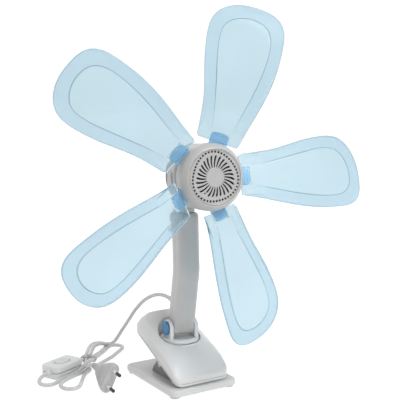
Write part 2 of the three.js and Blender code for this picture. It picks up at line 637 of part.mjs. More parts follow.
// The thin skin of a blade: a strip for each station along it, following the bow.
function bladeSkin() {
  const half = BLADE.thickness / 2;
  const stations = [38.2, 40, 42, 52, 62, 74, 86, 98, 110, 122, 134,
    146, 157, 165, 172, 178, 183, 186.6, 189, 190.4];
  const rings = stations.map((out) => {
    const bend = -BLADE.bow * (out - BLADE.pivot) ** 2;
    const low = edgeAt(BLADE_LEADING, out);
    const high = edgeAt(BLADE_TRAILING, out);
    const back = bend - half;
    const front = bend + half;
    return [[out, low, back], [out, high, back], [out, high, front], [out, low, front]];
  });
  return loft(rings);
}

function blade(index) {
  const padOutline = roundedRectangle(BLADE.root, BLADE.pad, -21.5, 23.5, 3.4);
  const pad = slab(padOutline, BLADE.padBack, BLADE.padFront, 2);
  const side = TAB.width / 2 + 0.4;
  const recess = box(BLADE.root - 2, TAB.outer + 1, -side, side, -10, TAB.front + GAP);
  return onBlade(cut(join(bladeSkin(), pad), recess), index);
}

function tabOutline() {
  const half = TAB.width / 2;
  const shape = new THREE.Shape();
  shape.moveTo(TAB.inner, -half);
  shape.lineTo(TAB.outer - 3, -half);
  shape.quadraticCurveTo(TAB.outer + 2.4, 0, TAB.outer - 3, half);
  shape.lineTo(TAB.inner, half);
  return shape;
}

function hubCarrier() {
  const disc = turned([[0, 59.8], [9, 59.8], [9, 62], [28, 62], [28, 60.8], [33, 60.8], [33, 63], [31.2, 63],
    [31.2, 72], [28, 72], [28, 65], [9, 65], [9, 70], [0, 70]], 20);
  const tabs = [];
  for (let i = 0; i < BLADES; i += 1) {
    tabs.push(onBlade(slab(tabOutline(), TAB.back, TAB.front, 5), i));
  }
  return cut(join(disc, ...tabs), rod(SHAFT.radius + 0.1, 50, 80, 16));
}

function hubNut() {
  return cut(rod(6, 70.4, 75, 6), rod(SHAFT.radius + 0.1, 60, 80, 16));
}

function dome() {
  const { radius, back, shoulder, face, opening, wall } = DOME;
  const shell = turned([[radius, back], [radius, shoulder], [35.8, 77], [34, 79.8], [31.9, 82.2], [30.8, face],
    [opening, face], [opening, 80.8], [28.2, 80.8], [28.2, 78.8], [31.4, 78.8],
    [radius - wall, 73.4], [radius - wall, back]], 30);
  const notches = [];
  for (let i = 0; i < BLADES; i += 1) {
    const side = TAB.width / 2 + 1.6;
    notches.push(onBlade(box(30.5, 42, -side, side, -22, TAB.front + 0.8), i));
  }
  return cut(shell, ...notches);
}

function ventGrille() {
  const shape = new THREE.Shape();
  shape.absarc(0, 0, GRILLE.radius, 0, Math.PI * 2);
  for (let i = 0; i < GRILLE.slots; i += 1) {
    const start = i * 2 * Math.PI / GRILLE.slots;
    const outer = GRILLE.slotOuter * (1 + GRILLE.lobe * Math.cos(3 * (start - GRILLE.lobeAngle)));
    const edge = (side) => [0, 0.55, 1].map((t) => {
      const r = GRILLE.slotInner + t * (outer - GRILLE.slotInner);
      const angle = start + GRILLE.swirl * t ** 1.4 + side * (0.55 + 0.5 * t) / r;
      return new THREE.Vector2(r * Math.cos(angle), r * Math.sin(angle));
    });
    shape.holes.push(new THREE.Path([...edge(-1), ...edge(1).reverse()]));
  }
  return slab(shape, GRILLE.back, GRILLE.back + 2, 15);
}

function buildRotor(parent) {
  add(parent, 'shaft', rod(SHAFT.radius, SHAFT.back, SHAFT.front, 12), steel);
  add(parent, 'rotor_core', ring(CORE.radius, SHAFT.radius + 0.1, CORE.back, CORE.front, 20), steel);
  add(parent, 'hub_carrier', hubCarrier(), hubBlue);
  add(parent, 'hub_nut', hubNut(), steel);
  add(parent, 'dome', dome(), white);
  add(parent, 'vent_grille', ventGrille(), white);
  for (let i = 0; i < BLADES; i += 1) add(parent, `blade_${i + 1}`, blade(i), bladeBlue);
}

// ---------------------------------------------------------------- mains lead, switch and plug
function cordTube(points, steps, radius = CORD.radius) {
  const path = new THREE.CatmullRomCurve3(points.map((p) => new THREE.Vector3(...p)), false, 'centripetal');
  const section = new THREE.Shape();
  section.absarc(0, 0, radius, 0, Math.PI * 2);
  return new THREE.ExtrudeGeometry(section, { steps, extrudePath: path, curveSegments: 4 });
}

// Centreline of the lead, from the gland behind the arm down to the tied hank.
const LEAD = [[1.9, 13.6, 90], [2.6, 22, 91.8], [2, 34, 93.6], [0, 48, 93], [-3, 62, 88.5], [-6, 78, 79],
  [-9.4, 94, 64], [-12.4, 108, 47], [-15.4, 121, 31], [-18, 131, 18], [-21, 138, 9.8], [-24.4, 141.8, 6.4],
  [-28.6, 145, 5.7]];
const HANK = { middle: [[-19.5, 168], [-45, 141], [-66, 115], [-84, 80], [-107, 58], [-134, 44]], half: 8,
  bottom: 1.3, top: 10.1 };
const PLUG_LEAD = [[-94.4, 55.6, 16.8], [-93, 66, 15.6], [-88, 77, 13.6], [-82, 87, 13.2], [-77, 95, 13]];

function cordGland() {
  const { neck, flange, inside, outside } = GLAND;
  return onArmBack(turned([[0, -inside], [neck, -inside], [neck, GAP], [flange, GAP], [flange, 2.3], [neck, 3.3],
    [neck - 0.8, outside], [0, outside]], 14), GLAND.z);
}

// The tied bundle as one band: upper loops, the tie, and the strands in front of the switch.
function cordHank() {
  const points = HANK.middle.map(([x, y]) => new THREE.Vector3(x, y, 0));
  const middle = new THREE.CatmullRomCurve3(points, false, 'centripetal');
  const half = HANK.half;
  const spots = 14;
  const side = (s) => Array.from({ length: spots + 1 }, (_, i) => {
    const p = middle.getPointAt(i / spots);
    const t = middle.getTangentAt(i / spots);
    return new THREE.Vector2(p.x - s * t.y * half, p.y + s * t.x * half);
  });
  const cap = (u, sign) => [0.25, 0.5, 0.75].map((k) => {
    const p = middle.getPointAt(u);
    const t = middle.getTangentAt(u).multiplyScalar(sign);
    const angle = Math.PI * (0.5 - k);
    return new THREE.Vector2(p.x + half * (t.x * Math.cos(angle) - t.y * Math.sin(angle)),
      p.y + half * (t.y * Math.cos(angle) + t.x * Math.sin(angle)));
  });
  const outline = new THREE.Shape([...side(1), ...cap(1, 1), ...side(-1).reverse(), ...cap(0, -1)]);
  return slab(outline, HANK.bottom, HANK.top);
}

function cordTie() {
  const outer = box(-10.2, 10.2, -4, 4, 0, 11.6);
  const inner = box(-8.8, 8.8, -6, 6, 1, 10.5);
  return cut(outer, inner).rotateZ(THREE.MathUtils.degToRad(-38)).translate(-66, 115, 0);
}

function switchOutline(inset) {
  const half = SWITCH.length / 2 - inset;
  const side = SWITCH.width / 2 - inset;
  return roundedRectangle(-half, half, -side, side, 11 - inset);
}

function ovalRod(rx, ry, z0, z1, segments = 18) {
  return rod(1, z0, z1, segments).scale(rx, ry, 1);
}

const SPLIT = 7.4;

function switchBottom() {
  const body = join(slab(switchOutline(1.4), 0.3, 2, 4), slab(switchOutline(0), 1.7, SPLIT, 4));
  const pocket = slab(switchOutline(2.6), 2.4, SPLIT + 1, 4);
  const ports = crossRod(CORD.radius + GAP, -40, 40, 0, SPLIT, 12);
  return cut(body, pocket, ports);
}

function switchTop() {
  const top = SWITCH.height;
  const wall = slab(switchOutline(0), SPLIT + GAP, top - 2, 4);
  const body = join(wall, slab(switchOutline(1.6), top - 2.3, top, 4));
  const pocket = slab(switchOutline(2.6), SPLIT - 1, top - 2.4, 4);
  const window = ovalRod(11.4, 8, top - 5, top + 2);
  const ports = crossRod(CORD.radius + GAP, -40, 40, 0, SPLIT, 12);
  return cut(body, pocket, window, ports);
}

function switchRocker() {
  const top = SWITCH.height;
  const body = ovalRod(10.4, 7.4, top - 6, top + 1.2);
  const dish = new THREE.SphereGeometry(34, 32, 40).translate(0, 0, top + 34.2);
  const skirt = box(-6, 6, -7, 7, top - 8, top - 5);
  return cut(join(body, skirt), dish);
}

function plugBody() {
  const { half, thick, length } = PLUG;
  const section = (size, thickness, depth) => {
    const r = thickness / 2;
    const straight = Math.max(size - r, 0.01);
    const points = [];
    for (const end of [1, -1]) {
      for (let i = 0; i <= 6; i += 1) {
        const angle = (i / 6) * Math.PI - (end > 0 ? 0 : -Math.PI);
        points.push([r * Math.cos(angle), depth, end * straight + r * Math.sin(angle)]);
      }
    }
    return points;
  };
  return loft([section(half - 1.4, thick - 2.4, 0), section(half, thick, 1.4), section(half, thick, 12),
    section(half * 0.86, thick * 0.96, 22), section(half * 0.52, thick * 0.8, length - 3),
    section(4.6, 8, length), section(4, 7.6, length + 6), section(3.2, 6, length + 18)]);
}

function plugPin(side) {
  return turned([[0, -0.3], [2, -0.3], [2, -PLUG.pin + 1.4], [1.1, -PLUG.pin], [0, -PLUG.pin]], 14)
    .rotateX(-Math.PI / 2)
    .translate(0, 0, side * PLUG.spread / 2);
}

function buildCord(parent) {
  add(parent, 'cord_lead', cordTube(LEAD, 26), lightGrey);
  add(parent, 'cord_hank', cordHank(), lightGrey);
  add(parent, 'cord_tie', cordTie(), darkGrey);
  add(parent, 'cord_plug_lead', cordTube(PLUG_LEAD, 7), lightGrey);
  const switchGroup = new THREE.Group();
  switchGroup.position.set(SWITCH.x, SWITCH.y, 0);
  switchGroup.rotation.z = SWITCH.turn;
  parent.add(switchGroup);
  add(switchGroup, 'switch_bottom', switchBottom(), lightGrey);
  add(switchGroup, 'switch_top', switchTop(), lightGrey);
  add(switchGroup, 'switch_rocker', switchRocker(), lightGrey);
  const plug = new THREE.Group();
  plug.position.set(PLUG.x, PLUG.y, PLUG.z);
  plug.rotation.set(0, PLUG.lean, PLUG.turn, 'ZYX');
  parent.add(plug);
  add(plug, 'plug_body', plugBody(), lightGrey);
  add(plug, 'plug_pin_1', plugPin(1), steel);
  add(plug, 'plug_pin_2', plugPin(-1), steel);
}

// ---------------------------------------------------------------- assembly
const fan = new THREE.Group();
const pan = new THREE.Group();
const head = new THREE.Group();
const rotor = new THREE.Group();
const lead = new THREE.Group();
fan.add(pan, lead);
pan.add(head);
head.add(rotor);
pan.rotation.z = PAN;
head.position.set(0, -TILT.forward, TILT.z);
head.rotation.x = HEAD_TILT;
rotor.rotation.x = Math.PI / 2;
buildBase(fan);
buildJaw(fan);
buildTurntable(pan);
buildArm(pan);
add(pan, 'cord_gland', cordGland(), darkGrey);
buildHead(head);
buildRotor(rotor);
buildCord(lead);

// The origin is the middle of the fan's own footprint, leaving out the lead.
fan.updateMatrixWorld(true);
const footprint = new THREE.Box3();
fan.traverse((node) => {
  const onLead = node.parent === lead || node.parent?.parent === lead;
  if (node.isMesh && !onLead) footprint.expandByObject(node, true);
});
const centre = footprint.getCenter(new THREE.Vector3());
fan.children.forEach((child) => child.position.sub(new THREE.Vector3(centre.x, centre.y, 0)));

export default fan;
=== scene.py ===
"""Looks of the clip-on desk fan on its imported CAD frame: shells, blades, lead and studio."""

import json
import math

import bmesh
import bpy
from mathutils import Matrix, Vector


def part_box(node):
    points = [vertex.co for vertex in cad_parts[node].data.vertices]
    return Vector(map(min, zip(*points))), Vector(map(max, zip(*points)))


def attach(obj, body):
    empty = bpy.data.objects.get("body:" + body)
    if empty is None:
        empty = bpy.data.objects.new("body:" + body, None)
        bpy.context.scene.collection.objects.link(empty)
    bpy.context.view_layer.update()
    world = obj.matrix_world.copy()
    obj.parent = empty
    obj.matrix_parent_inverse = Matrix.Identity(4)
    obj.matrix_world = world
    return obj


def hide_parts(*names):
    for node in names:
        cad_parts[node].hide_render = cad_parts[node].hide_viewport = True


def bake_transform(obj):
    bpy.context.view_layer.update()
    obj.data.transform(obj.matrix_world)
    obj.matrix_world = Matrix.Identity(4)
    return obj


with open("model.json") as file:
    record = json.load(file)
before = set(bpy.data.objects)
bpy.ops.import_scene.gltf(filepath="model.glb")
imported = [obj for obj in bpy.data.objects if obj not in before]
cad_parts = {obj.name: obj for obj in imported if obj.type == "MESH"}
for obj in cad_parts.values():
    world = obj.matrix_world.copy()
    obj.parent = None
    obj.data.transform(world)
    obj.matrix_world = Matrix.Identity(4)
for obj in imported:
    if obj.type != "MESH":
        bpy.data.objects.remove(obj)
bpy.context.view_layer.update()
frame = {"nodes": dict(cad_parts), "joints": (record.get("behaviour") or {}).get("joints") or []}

# ---------------- frame (millimetres in each local frame)
shift = Matrix.Translation
link = bpy.context.scene.collection.objects.link


def spin(angle, axis):
    return Matrix.Rotation(angle, 4, axis)


MM = 0.001
PAN = math.radians(-8)
HEAD_TILT = math.radians(-4.5)
JOINTS = {joint["name"]: joint for joint in frame["joints"]}
AXIS_X, AXIS_Y, _ = JOINTS["turntable_swivel"]["pos_m"]

BASE = shift((AXIS_X, AXIS_Y, 0)) @ Matrix.Scale(MM, 4)
STAND = BASE @ spin(PAN, "Z")
HEAD = (shift(JOINTS["head_tilt"]["pos_m"]) @ spin(PAN, "Z")
        @ spin(HEAD_TILT, "X") @ Matrix.Scale(MM, 4))
ROTOR = HEAD @ spin(math.pi / 2, "X")


def place(x, y, z):
    """A point of the base's frame, in metres."""
    return BASE @ Vector((x, y, z))


# ---------------- camera
CAMERA_SPOT = (-522.4, -882.6, 367.9)
CAMERA_RIGHT = Vector((0.8480, -0.5299, 0))
CAMERA_BACK = Vector((-0.5242, -0.8390, 0.1461))
SENSOR_WIDTH, FOCAL_LENGTH, NEAREST = 36, 80.1, 0.05


def make_camera():
    """The photograph's viewing angle, fitted to the fan's outlines."""
    up = CAMERA_BACK.cross(CAMERA_RIGHT)
    matrix = Matrix((CAMERA_RIGHT, up, CAMERA_BACK)).transposed().to_4x4()
    matrix.translation = place(*CAMERA_SPOT)
    data = bpy.data.cameras.new("camera")
    data.sensor_width = SENSOR_WIDTH
    data.lens = FOCAL_LENGTH
    data.clip_start = NEAREST
    camera = bpy.data.objects.new("camera", data)
    camera.matrix_world = matrix
    link(camera)
    bpy.context.scene.camera = camera


# ---------------- small geometry kit
def smooth_line(points, per_span=8, closed=False):
    """Points along a Catmull-Rom curve through the given ones."""
    points = [Vector(p) for p in points]
    count = len(points)
    spans = count if closed else count - 1
    line = []
    for i in range(spans):
        if closed:
            a, b, c, d = (points[(i + k) % count] for k in (-1, 0, 1, 2))
        else:
            a, b, c, d = (points[min(max(i + k, 0), count - 1)] for k in (-1, 0, 1, 2))
        for k in range(per_span):
            t = k / per_span
            line.append(0.5 * (2 * b + (c - a) * t + (2 * a - 5 * b + 4 * c - d) * t ** 2
                               + (3 * b - a - 3 * c + d) * t ** 3))
    if not closed:
        line.append(points[-1])
    return line


def along(pairs, place_on):
    """Smooth value between listed (place, value) pairs."""
    i = 1
    while i < len(pairs) - 1 and pairs[i][0] < place_on:
        i += 1
    (p0, v0), (p1, v1) = pairs[i - 1], pairs[i]
    before = pairs[max(i - 2, 0)]
    after = pairs[min(i + 1, len(pairs) - 1)]
    span = p1 - p0
    t = min(max((place_on - p0) / span, 0), 1)
    slope0 = (v1 - before[1]) / (p1 - before[0]) * span
    slope1 = (after[1] - v0) / (after[0] - p0) * span
    return ((2 * t ** 3 - 3 * t ** 2 + 1) * v0 + (t ** 3 - 2 * t ** 2 + t) * slope0
            + (3 * t ** 2 - 2 * t ** 3) * v1 + (t ** 3 - t ** 2) * slope1)


def fillet(points, radius, steps=5, closed=True):
    """The outline with each corner rounded. radius is one number or one for each corner."""
    points = [Vector(p) for p in points]
    radii = radius if isinstance(radius, (list, tuple)) else [radius] * len(points)
    line = []
    for i, corner in enumerate(points):
        if radii[i] == 0 or (not closed and i in (0, len(points) - 1)):
            line.append(corner)
            continue
        before = points[i - 1] - corner
        after = points[(i + 1) % len(points)] - corner
        reach = min(radii[i], 0.48 * before.length, 0.48 * after.length)
        start = corner + before.normalized() * reach
        end = corner + after.normalized() * reach
        for k in range(steps + 1):
            t = k / steps
            line.append((1 - t) ** 2 * start + 2 * t * (1 - t) * corner + t ** 2 * end)
    return line


def bezier(start, c1, c2, end, steps=6):
    """Flat points of a cubic curve, without its first one."""
    start, c1, c2, end = (Vector(p) for p in (start, c1, c2, end))
    return [tuple((1 - t) ** 3 * start + 3 * t * (1 - t) ** 2 * c1
                  + 3 * t ** 2 * (1 - t) * c2 + t ** 3 * end)
            for t in (k / steps for k in range(1, steps + 1))]


def arc(centre, radius, start, sweep, steps=24):
    """Flat points of a circle's arc, both ends included."""
    return [(centre[0] + radius * math.cos(a), centre[1] + radius * math.sin(a))
            for a in (start + sweep * k / steps for k in range(steps + 1))]


def mesh_of(vertices, faces):
    """A clean mesh with its faces pointing out."""
    mesh = bpy.data.meshes.new("shape")
    mesh.from_pydata([tuple(v) for v in vertices], [], faces)
    soft = bmesh.new()
    soft.from_mesh(mesh)
    bmesh.ops.remove_doubles(soft, verts=soft.verts, dist=1e-4)
    bmesh.ops.recalc_face_normals(soft, faces=soft.faces)
    soft.to_mesh(mesh)
    soft.free()
    return mesh


def skin(rings, closed):
    """Vertices and side faces of a surface through equal rings of points."""
    count = len(rings[0])
    faces = []
    for k in range(len(rings) if closed else len(rings) - 1):
        n = (k + 1) % len(rings)
        for i in range(count):
            j = (i + 1) % count
            faces.append((k * count + i, k * count + j, n * count + j, n * count + i))
    return [p for ring in rings for p in ring], faces


def loft(rings):
    """Skin through rings of points, capped at both ends."""
    vertices, faces = skin(rings, False)
    count = len(rings[0])
    faces += [tuple(range(count)), tuple(range(len(vertices) - count, len(vertices)))]
    return mesh_of(vertices, faces)


def lathe(profile, segments=96):
    """Body of revolution about Z from a closed outline of (radius, height)."""
    return mesh_of(*skin([[(p[0] * math.cos(a), p[0] * math.sin(a), p[1]) for p in profile]
                          for a in (2 * math.pi * k / segments for k in range(segments))], True))


def inset(outline, distance):
    """A counter-clockwise outline moved inwards."""
    moved = []
    for i, point in enumerate(outline):
        before = (Vector(point[:2]) - Vector(outline[i - 1][:2])).normalized()
        following = outline[(i + 1) % len(outline)]
        after = (Vector(following[:2]) - Vector(point[:2])).normalized()
        middle = (before + after).normalized()
        moved.append((point[0] - middle.y * distance, point[1] + middle.x * distance))
    return moved


def prism(outline, low, high, edge=0.0, steps=4):
    """Upright block with rounded upper and lower edges."""
    outline = [tuple(p[:2]) for p in outline]
    if edge:
        rings = [(low + edge - edge * math.sin(a), edge - edge * math.cos(a))
                 for a in (math.pi / 2 * (1 - k / steps) for k in range(steps + 1))]
        rings += [(high - edge + edge * math.sin(a), edge - edge * math.cos(a))
                  for a in (math.pi / 2 * k / steps for k in range(steps + 1))]
    else:
        rings = [(low, 0.0), (high, 0.0)]
    return loft([[(x, y, z) for x, y in (inset(outline, d) if d else outline)]
                 for z, d in rings])


def box(x0, x1, y0, y1, z0, z1, edge=0.0):
    """Upright block between two limits on each axis."""
    return prism([(x0, y0), (x1, y0), (x1, y1), (x0, y1)], z0, z1, edge)


def rounded_box_outline(x0, x1, y0, y1, radius, steps=6):
    """Rectangle whose fillets, cut a little long, look like arcs of the radius."""
    return fillet([(x0, y0), (x1, y0), (x1, y1), (x0, y1)], radius * 1.1, steps)


def sideways(mesh):
    """Turns a mesh drawn as (forward, up, across) into the stand's axes, forward being -Y."""
    mesh.transform(Matrix(((0, 0, 1, 0), (-1, 0, 0, 0), (0, 1, 0, 0), (0, 0, 0, 1))))
    return mesh


def moved(mesh, matrix):
    mesh.transform(matrix)
    return mesh


def tube(line, radius, sides=12):
    """Closed tube along a line; radius is a number, or a function of the way along, 0 to 1."""
    line = [Vector(p) for p in line]
    size = radius if callable(radius) else (lambda t: radius)
    rings = []
    across = None
    for i, point in enumerate(line):
        ahead = (line[min(i + 1, len(line) - 1)] - line[max(i - 1, 0)]).normalized()
        if across is None:
            across = ahead.orthogonal().normalized()
        across = (across - ahead * across.dot(ahead)).normalized()
        other = ahead.cross(across)
        r = size(i / (len(line) - 1))
        rings.append([point + r * (math.cos(a) * across + math.sin(a) * other)
                      for a in (2 * math.pi * k / sides for k in range(sides))])
    return loft(rings)


def work_object(mesh):
    holder = bpy.data.objects.new("work", mesh)
    link(holder)
    return holder


def baked(holder):
    """The object's mesh with its modifiers applied; the object itself is removed."""
    bpy.context.view_layer.update()
    graph = bpy.context.evaluated_depsgraph_get()
    mesh = bpy.data.meshes.new_from_object(holder.evaluated_get(graph))
    bpy.data.objects.remove(holder)
    return mesh


def boolean(mesh, operation, *tools):
    holder = work_object(mesh)
    helpers = [work_object(tool) for tool in tools]
    for helper in helpers:
        modifier = holder.modifiers.new("cut", "BOOLEAN")
        modifier.operation = operation
        modifier.object = helper
        modifier.solver = "EXACT"
    result = baked(holder)
    for helper in helpers:
        bpy.data.objects.remove(helper)
    return result


def cut(mesh, *tools):
    return boolean(mesh, "DIFFERENCE", *tools)


def fused(mesh, *tools):
    return boolean(mesh, "UNION", *tools)


def together(*meshes):
    """One mesh that holds several closed shells."""
    soft = bmesh.new()
    for mesh in meshes:
        soft.from_mesh(mesh)
    result = bpy.data.meshes.new("shape")
    soft.to_mesh(result)
    soft.free()
    return result


def bevelled(mesh, width, segments=2, angle=35):
    holder = work_object(mesh)
    modifier = holder.modifiers.new("bevel", "BEVEL")
    modifier.width = width
    modifier.segments = segments
    modifier.limit_method = "ANGLE"
    modifier.angle_limit = math.radians(angle)
    return baked(holder)


def piece(name, mesh, matrix, body, material, replaces=(), sharp=40):
    """Puts a finished mesh in its place on a body, or on none."""
    mesh.transform(matrix)
    mesh.name = name
    mesh.materials.clear()
    mesh.materials.append(material)
    mesh.polygons.foreach_set("use_smooth", [True] * len(mesh.polygons))
    mesh.set_sharp_from_angle(angle=math.radians(sharp))
    made = bpy.data.objects.new(name, mesh)
    link(made)
    if body:
        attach(made, body)
    if replaces:
        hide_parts(*([replaces] if isinstance(replaces, str) else replaces))
    return made


def stand_in(node, mesh, matrix, body, material, sharp=40):
    """A piece that replaces one CAD node."""
    return piece(node + "_fine", mesh, matrix, body, material, node, sharp)


def refined(node, body, material, width=0.35, segments=2):
    """A carried-over CAD piece with softened edges."""
    mesh = frame["nodes"][node].data.copy()
    soft = bmesh.new()
    soft.from_mesh(mesh)
    bmesh.ops.remove_doubles(soft, verts=soft.verts, dist=2e-6)
    bmesh.ops.dissolve_limit(soft, angle_limit=math.radians(2), verts=soft.verts,
                             edges=soft.edges)
    soft.to_mesh(mesh)
    soft.free()
    mesh = bevelled(mesh, width * MM, segments)
    return stand_in(node, mesh, Matrix.Identity(4), body, material)


# ---------------- materials
def new_material(name, colour, roughness, metallic=0.0):
    """A plain Principled material, with its node tree and its shader."""
    material = bpy.data.materials.new(name)
    material.use_nodes = True
    shader = material.node_tree.nodes["Principled BSDF"]
    shader.inputs["Base Color"].default_value = (*colour, 1)
    shader.inputs["Roughness"].default_value = roughness
    shader.inputs["Metallic"].default_value = metallic
    return material, material.node_tree, shader


def add_noise(tree, scale, detail=3.0, stretch=(1, 1, 1)):
    """Noise that is fixed to the object."""
    coordinates = tree.nodes.new("ShaderNodeTexCoord")
    mapping = tree.nodes.new("ShaderNodeMapping")
    mapping.inputs["Scale"].default_value = stretch
    noise = tree.nodes.new("ShaderNodeTexNoise")
    noise.inputs["Scale"].default_value = scale
    noise.inputs["Detail"].default_value = detail
    tree.links.new(coordinates.outputs["Object"], mapping.inputs["Vector"])
    tree.links.new(mapping.outputs["Vector"], noise.inputs["Vector"])
    return noise


def tint(tree, shader, noise, dark, light):
    """Lets the noise vary the base colour between two shades."""
    ramp = tree.nodes.new("ShaderNodeValToRGB")
    for element, position, colour in zip(ramp.color_ramp.elements, (0.35, 0.65), (dark, light)):
        element.position = position
        element.color = (*colour, 1)
    tree.links.new(noise.outputs["Fac"], ramp.inputs["Fac"])
    tree.links.new(ramp.outputs["Color"], shader.inputs["Base Color"])


def remap(tree, value, low, high, start=0.0, end=1.0):
    """The output of a node that takes start..end to low..high."""
    span = tree.nodes.new("ShaderNodeMapRange")
    for name, number in (("From Min", start), ("From Max", end), ("To Min", low), ("To Max", high)):
        span.inputs[name].default_value = number
    tree.links.new(value, span.inputs["Value"])
    return span.outputs["Result"]


def vary_roughness(tree, shader, noise, low, high):
    tree.links.new(remap(tree, noise.outputs["Fac"], low, high), shader.inputs["Roughness"])


def bump(tree, shader, noise, strength, distance):
    node = tree.nodes.new("ShaderNodeBump")
    node.inputs["Strength"].default_value = strength
    node.inputs["Distance"].default_value = distance
    tree.links.new(noise.outputs["Fac"], node.inputs["Height"])
    tree.links.new(node.outputs["Normal"], shader.inputs["Normal"])


def scaled(colour, factor):
    return tuple(min(c * factor, 1.0) for c in colour)


def plastic(name, colour, roughness, grain=1800, depth=0.00004, spread=0.03, coat=0.0):
    material, tree, shader = new_material(name, colour, roughness)
    shader.inputs["Coat Weight"].default_value = coat
    shader.inputs["Coat Roughness"].default_value = 0.15
    broad = add_noise(tree, 18)
    tint(tree, shader, broad, scaled(colour, 1 - spread), scaled(colour, 1 + spread))
    vary_roughness(tree, shader, add_noise(tree, 60), roughness * 0.85, roughness * 1.15)
    bump(tree, shader, add_noise(tree, grain, 2), 0.35, depth)
    return material


def metal(name, colour, roughness, stretch=(1, 1, 1), grain=900):
    material, tree, shader = new_material(name, colour, roughness, 1.0)
    tint(tree, shader, add_noise(tree, 40), scaled(colour, 0.86), colour)
    vary_roughness(tree, shader, add_noise(tree, 220), roughness * 0.7, roughness * 1.3)
    bump(tree, shader, add_noise(tree, grain, 2, stretch), 0.2, 0.00003)
    return material


def clear_plastic(name, colour, roughness, transmission):
    material, tree, shader = new_material(name, colour, roughness)
    shader.inputs["Transmission Weight"].default_value = transmission
    shader.inputs["IOR"].default_value = 1.2
    tint(tree, shader, add_noise(tree, 9), scaled(colour, 0.97), scaled(colour, 1.02))
    vary_roughness(tree, shader, add_noise(tree, 45), roughness * 0.8, roughness * 1.2)
    bump(tree, shader, add_noise(tree, 700, 2), 0.12, 0.00002)
    return material


WHITE = plastic("white_plastic", (0.59, 0.588, 0.584), 0.34, coat=0.2)
PLATE = plastic("plate_plastic", (0.54, 0.538, 0.534), 0.4, coat=0.1)
# Painted shade: the dome and its grille get a mid-grey, darker than the white parts, for the shade
# they show.
DOME = plastic("dome_plastic", (0.36, 0.353, 0.346), 0.3, coat=0.3)
GRILLE = plastic("grille_plastic", (0.30, 0.30, 0.298), 0.36, coat=0.15)
ARM = plastic("arm_plastic", (0.42, 0.418, 0.414), 0.4, coat=0.1)
DARK = plastic("bracket_paint", (0.19, 0.19, 0.192), 0.45, grain=900)
RUBBER = plastic("rubber", (0.46, 0.46, 0.455), 0.8, grain=1200, depth=0.00008)
CORD = plastic("cord_sheath", (0.50, 0.50, 0.496), 0.4, grain=2600)
SWITCH = plastic("switch_plastic", (0.60, 0.60, 0.596), 0.36)
ROCKER = plastic("rocker_plastic", (0.56, 0.56, 0.556), 0.34)
PLUG = plastic("plug_plastic", (0.38, 0.38, 0.377), 0.45)
CAP_RIGHT = plastic("cap_pale_blue", (0.50, 0.62, 0.70), 0.3, spread=0.05, coat=0.2)
# Black of the plug's pin tips; also painted shade on the hub carrier's front face under the grille.
BLACK_AND_PAINTED_SHADE = plastic("black_pins_and_painted_shade", (0.02, 0.02, 0.02), 0.4)
HUB = plastic("hub_blue", (0.32, 0.64, 0.94), 0.3, spread=0.05, coat=0.3)
CAP = plastic("cap_blue", (0.02, 0.15, 0.34), 0.3, spread=0.05, coat=0.2)
STEEL = metal("zinc_steel", (0.55, 0.56, 0.57), 0.32)
COPPER = metal("winding_copper", (0.62, 0.27, 0.12), 0.4, (1, 1, 14), 1400)
BLADE = clear_plastic("blade_plastic", (0.55, 0.70, 0.77), 0.14, 0.86)
BLADE_BAND = clear_plastic("blade_band", (0.51, 0.665, 0.75), 0.2, 0.86)
# Painted shade: a darker blue for the blade's rim and its panel's edge line, the darkening these
# edges show in the light.
BLADE_EDGE_SHADE = clear_plastic("blade_edge", (0.30, 0.45, 0.54), 0.2, 0.75)


# ---------------- mains lead
ARM_LINE = [(66.5, 6), (138, 21.5), (206, 18)]      # (height, forward) of the arm's middle
CORD_RADIUS = 2.3
CORD_SIDES = 16
CORD_STEPS = 8              # points of the tube for each point of its route
FLOOR = 2.4                 # height of the middle of a lead that lies on the table
TIE_SPOT = (-66, 115)
SWITCH_SPOT = (-112, 91)
TIE_TURN = math.radians(52)
SWITCH_TURN = math.radians(24)
LEAD = [(1.9, 13.6, 90), (2.6, 22, 91.8), (2, 34, 93.6), (0, 48, 93), (-3, 62, 88.5),
        (-6, 78, 79), (-9.4, 94, 64), (-12.4, 108, 47), (-15.4, 121, 31), (-18, 131, 18),
        (-21, 138, 10.6)]


def turned_place(origin, angle, ahead, right, height):
    """A point so far ahead and to the right of a place on the floor, facing an angle."""
    c, s = math.cos(angle), math.sin(angle)
    return (origin[0] + ahead * c + right * s, origin[1] + ahead * s - right * c, height)


def bundle(ahead, right, height=FLOOR):
    """Beside the tie: ahead is towards the upper loops."""
    return turned_place(TIE_SPOT, TIE_TURN, ahead, right, height)


def by_switch(ahead, right, height=FLOOR):
    """Beside the inline switch: ahead is towards the tie."""
    return turned_place(SWITCH_SPOT, SWITCH_TURN, ahead, right, height)


FIRST_CORD = LEAD + [
    (-24.4, 147.6, 7.6), (-32, 153.4, 7.2), (-41, 150.6, 6), (-48.4, 142.4, 3.6),
    bundle(22, -2.2, 2.6), bundle(10, -2.3, 2.9), bundle(0, -2.3, 3.7), bundle(-10, -1.6, 2.9),
    bundle(-22, 1.6), bundle(-34, 4.6), by_switch(10, 21.9), by_switch(0, 21.9),
    by_switch(-12, 22.6), (-126.4, 56.6, FLOOR), (-132.4, 48.6, FLOOR), (-133.8, 39.6, FLOOR),
    (-130.8, 32.4, FLOOR), (-123.6, 29.4, FLOOR), (-115.8, 33, FLOOR), (-108.6, 43, FLOOR),
    (-100, 57, FLOOR), (-91.5, 69, FLOOR), bundle(-38.7, 10.4), bundle(-26, 7.2),
    bundle(-13, 3.6, 2.6), bundle(0, 2.3, 3.7), bundle(12, 3.4, 2.9), bundle(26, 6.6),
    bundle(40, 9.2), bundle(52, 10.5), bundle(60.6, 9.8), bundle(68, 6.8), bundle(70.6, 0),
    bundle(68, -7), bundle(60.6, -10.2), bundle(52, -10.8), bundle(40, -9.8), bundle(26, -8.4),
    bundle(12, -7.4, 2.9), bundle(0, -6.9, 3.7), (-78, 110.6, 5), (-82.2, 105.4, 7),
    (-87.2, 102.1, 7.6)]
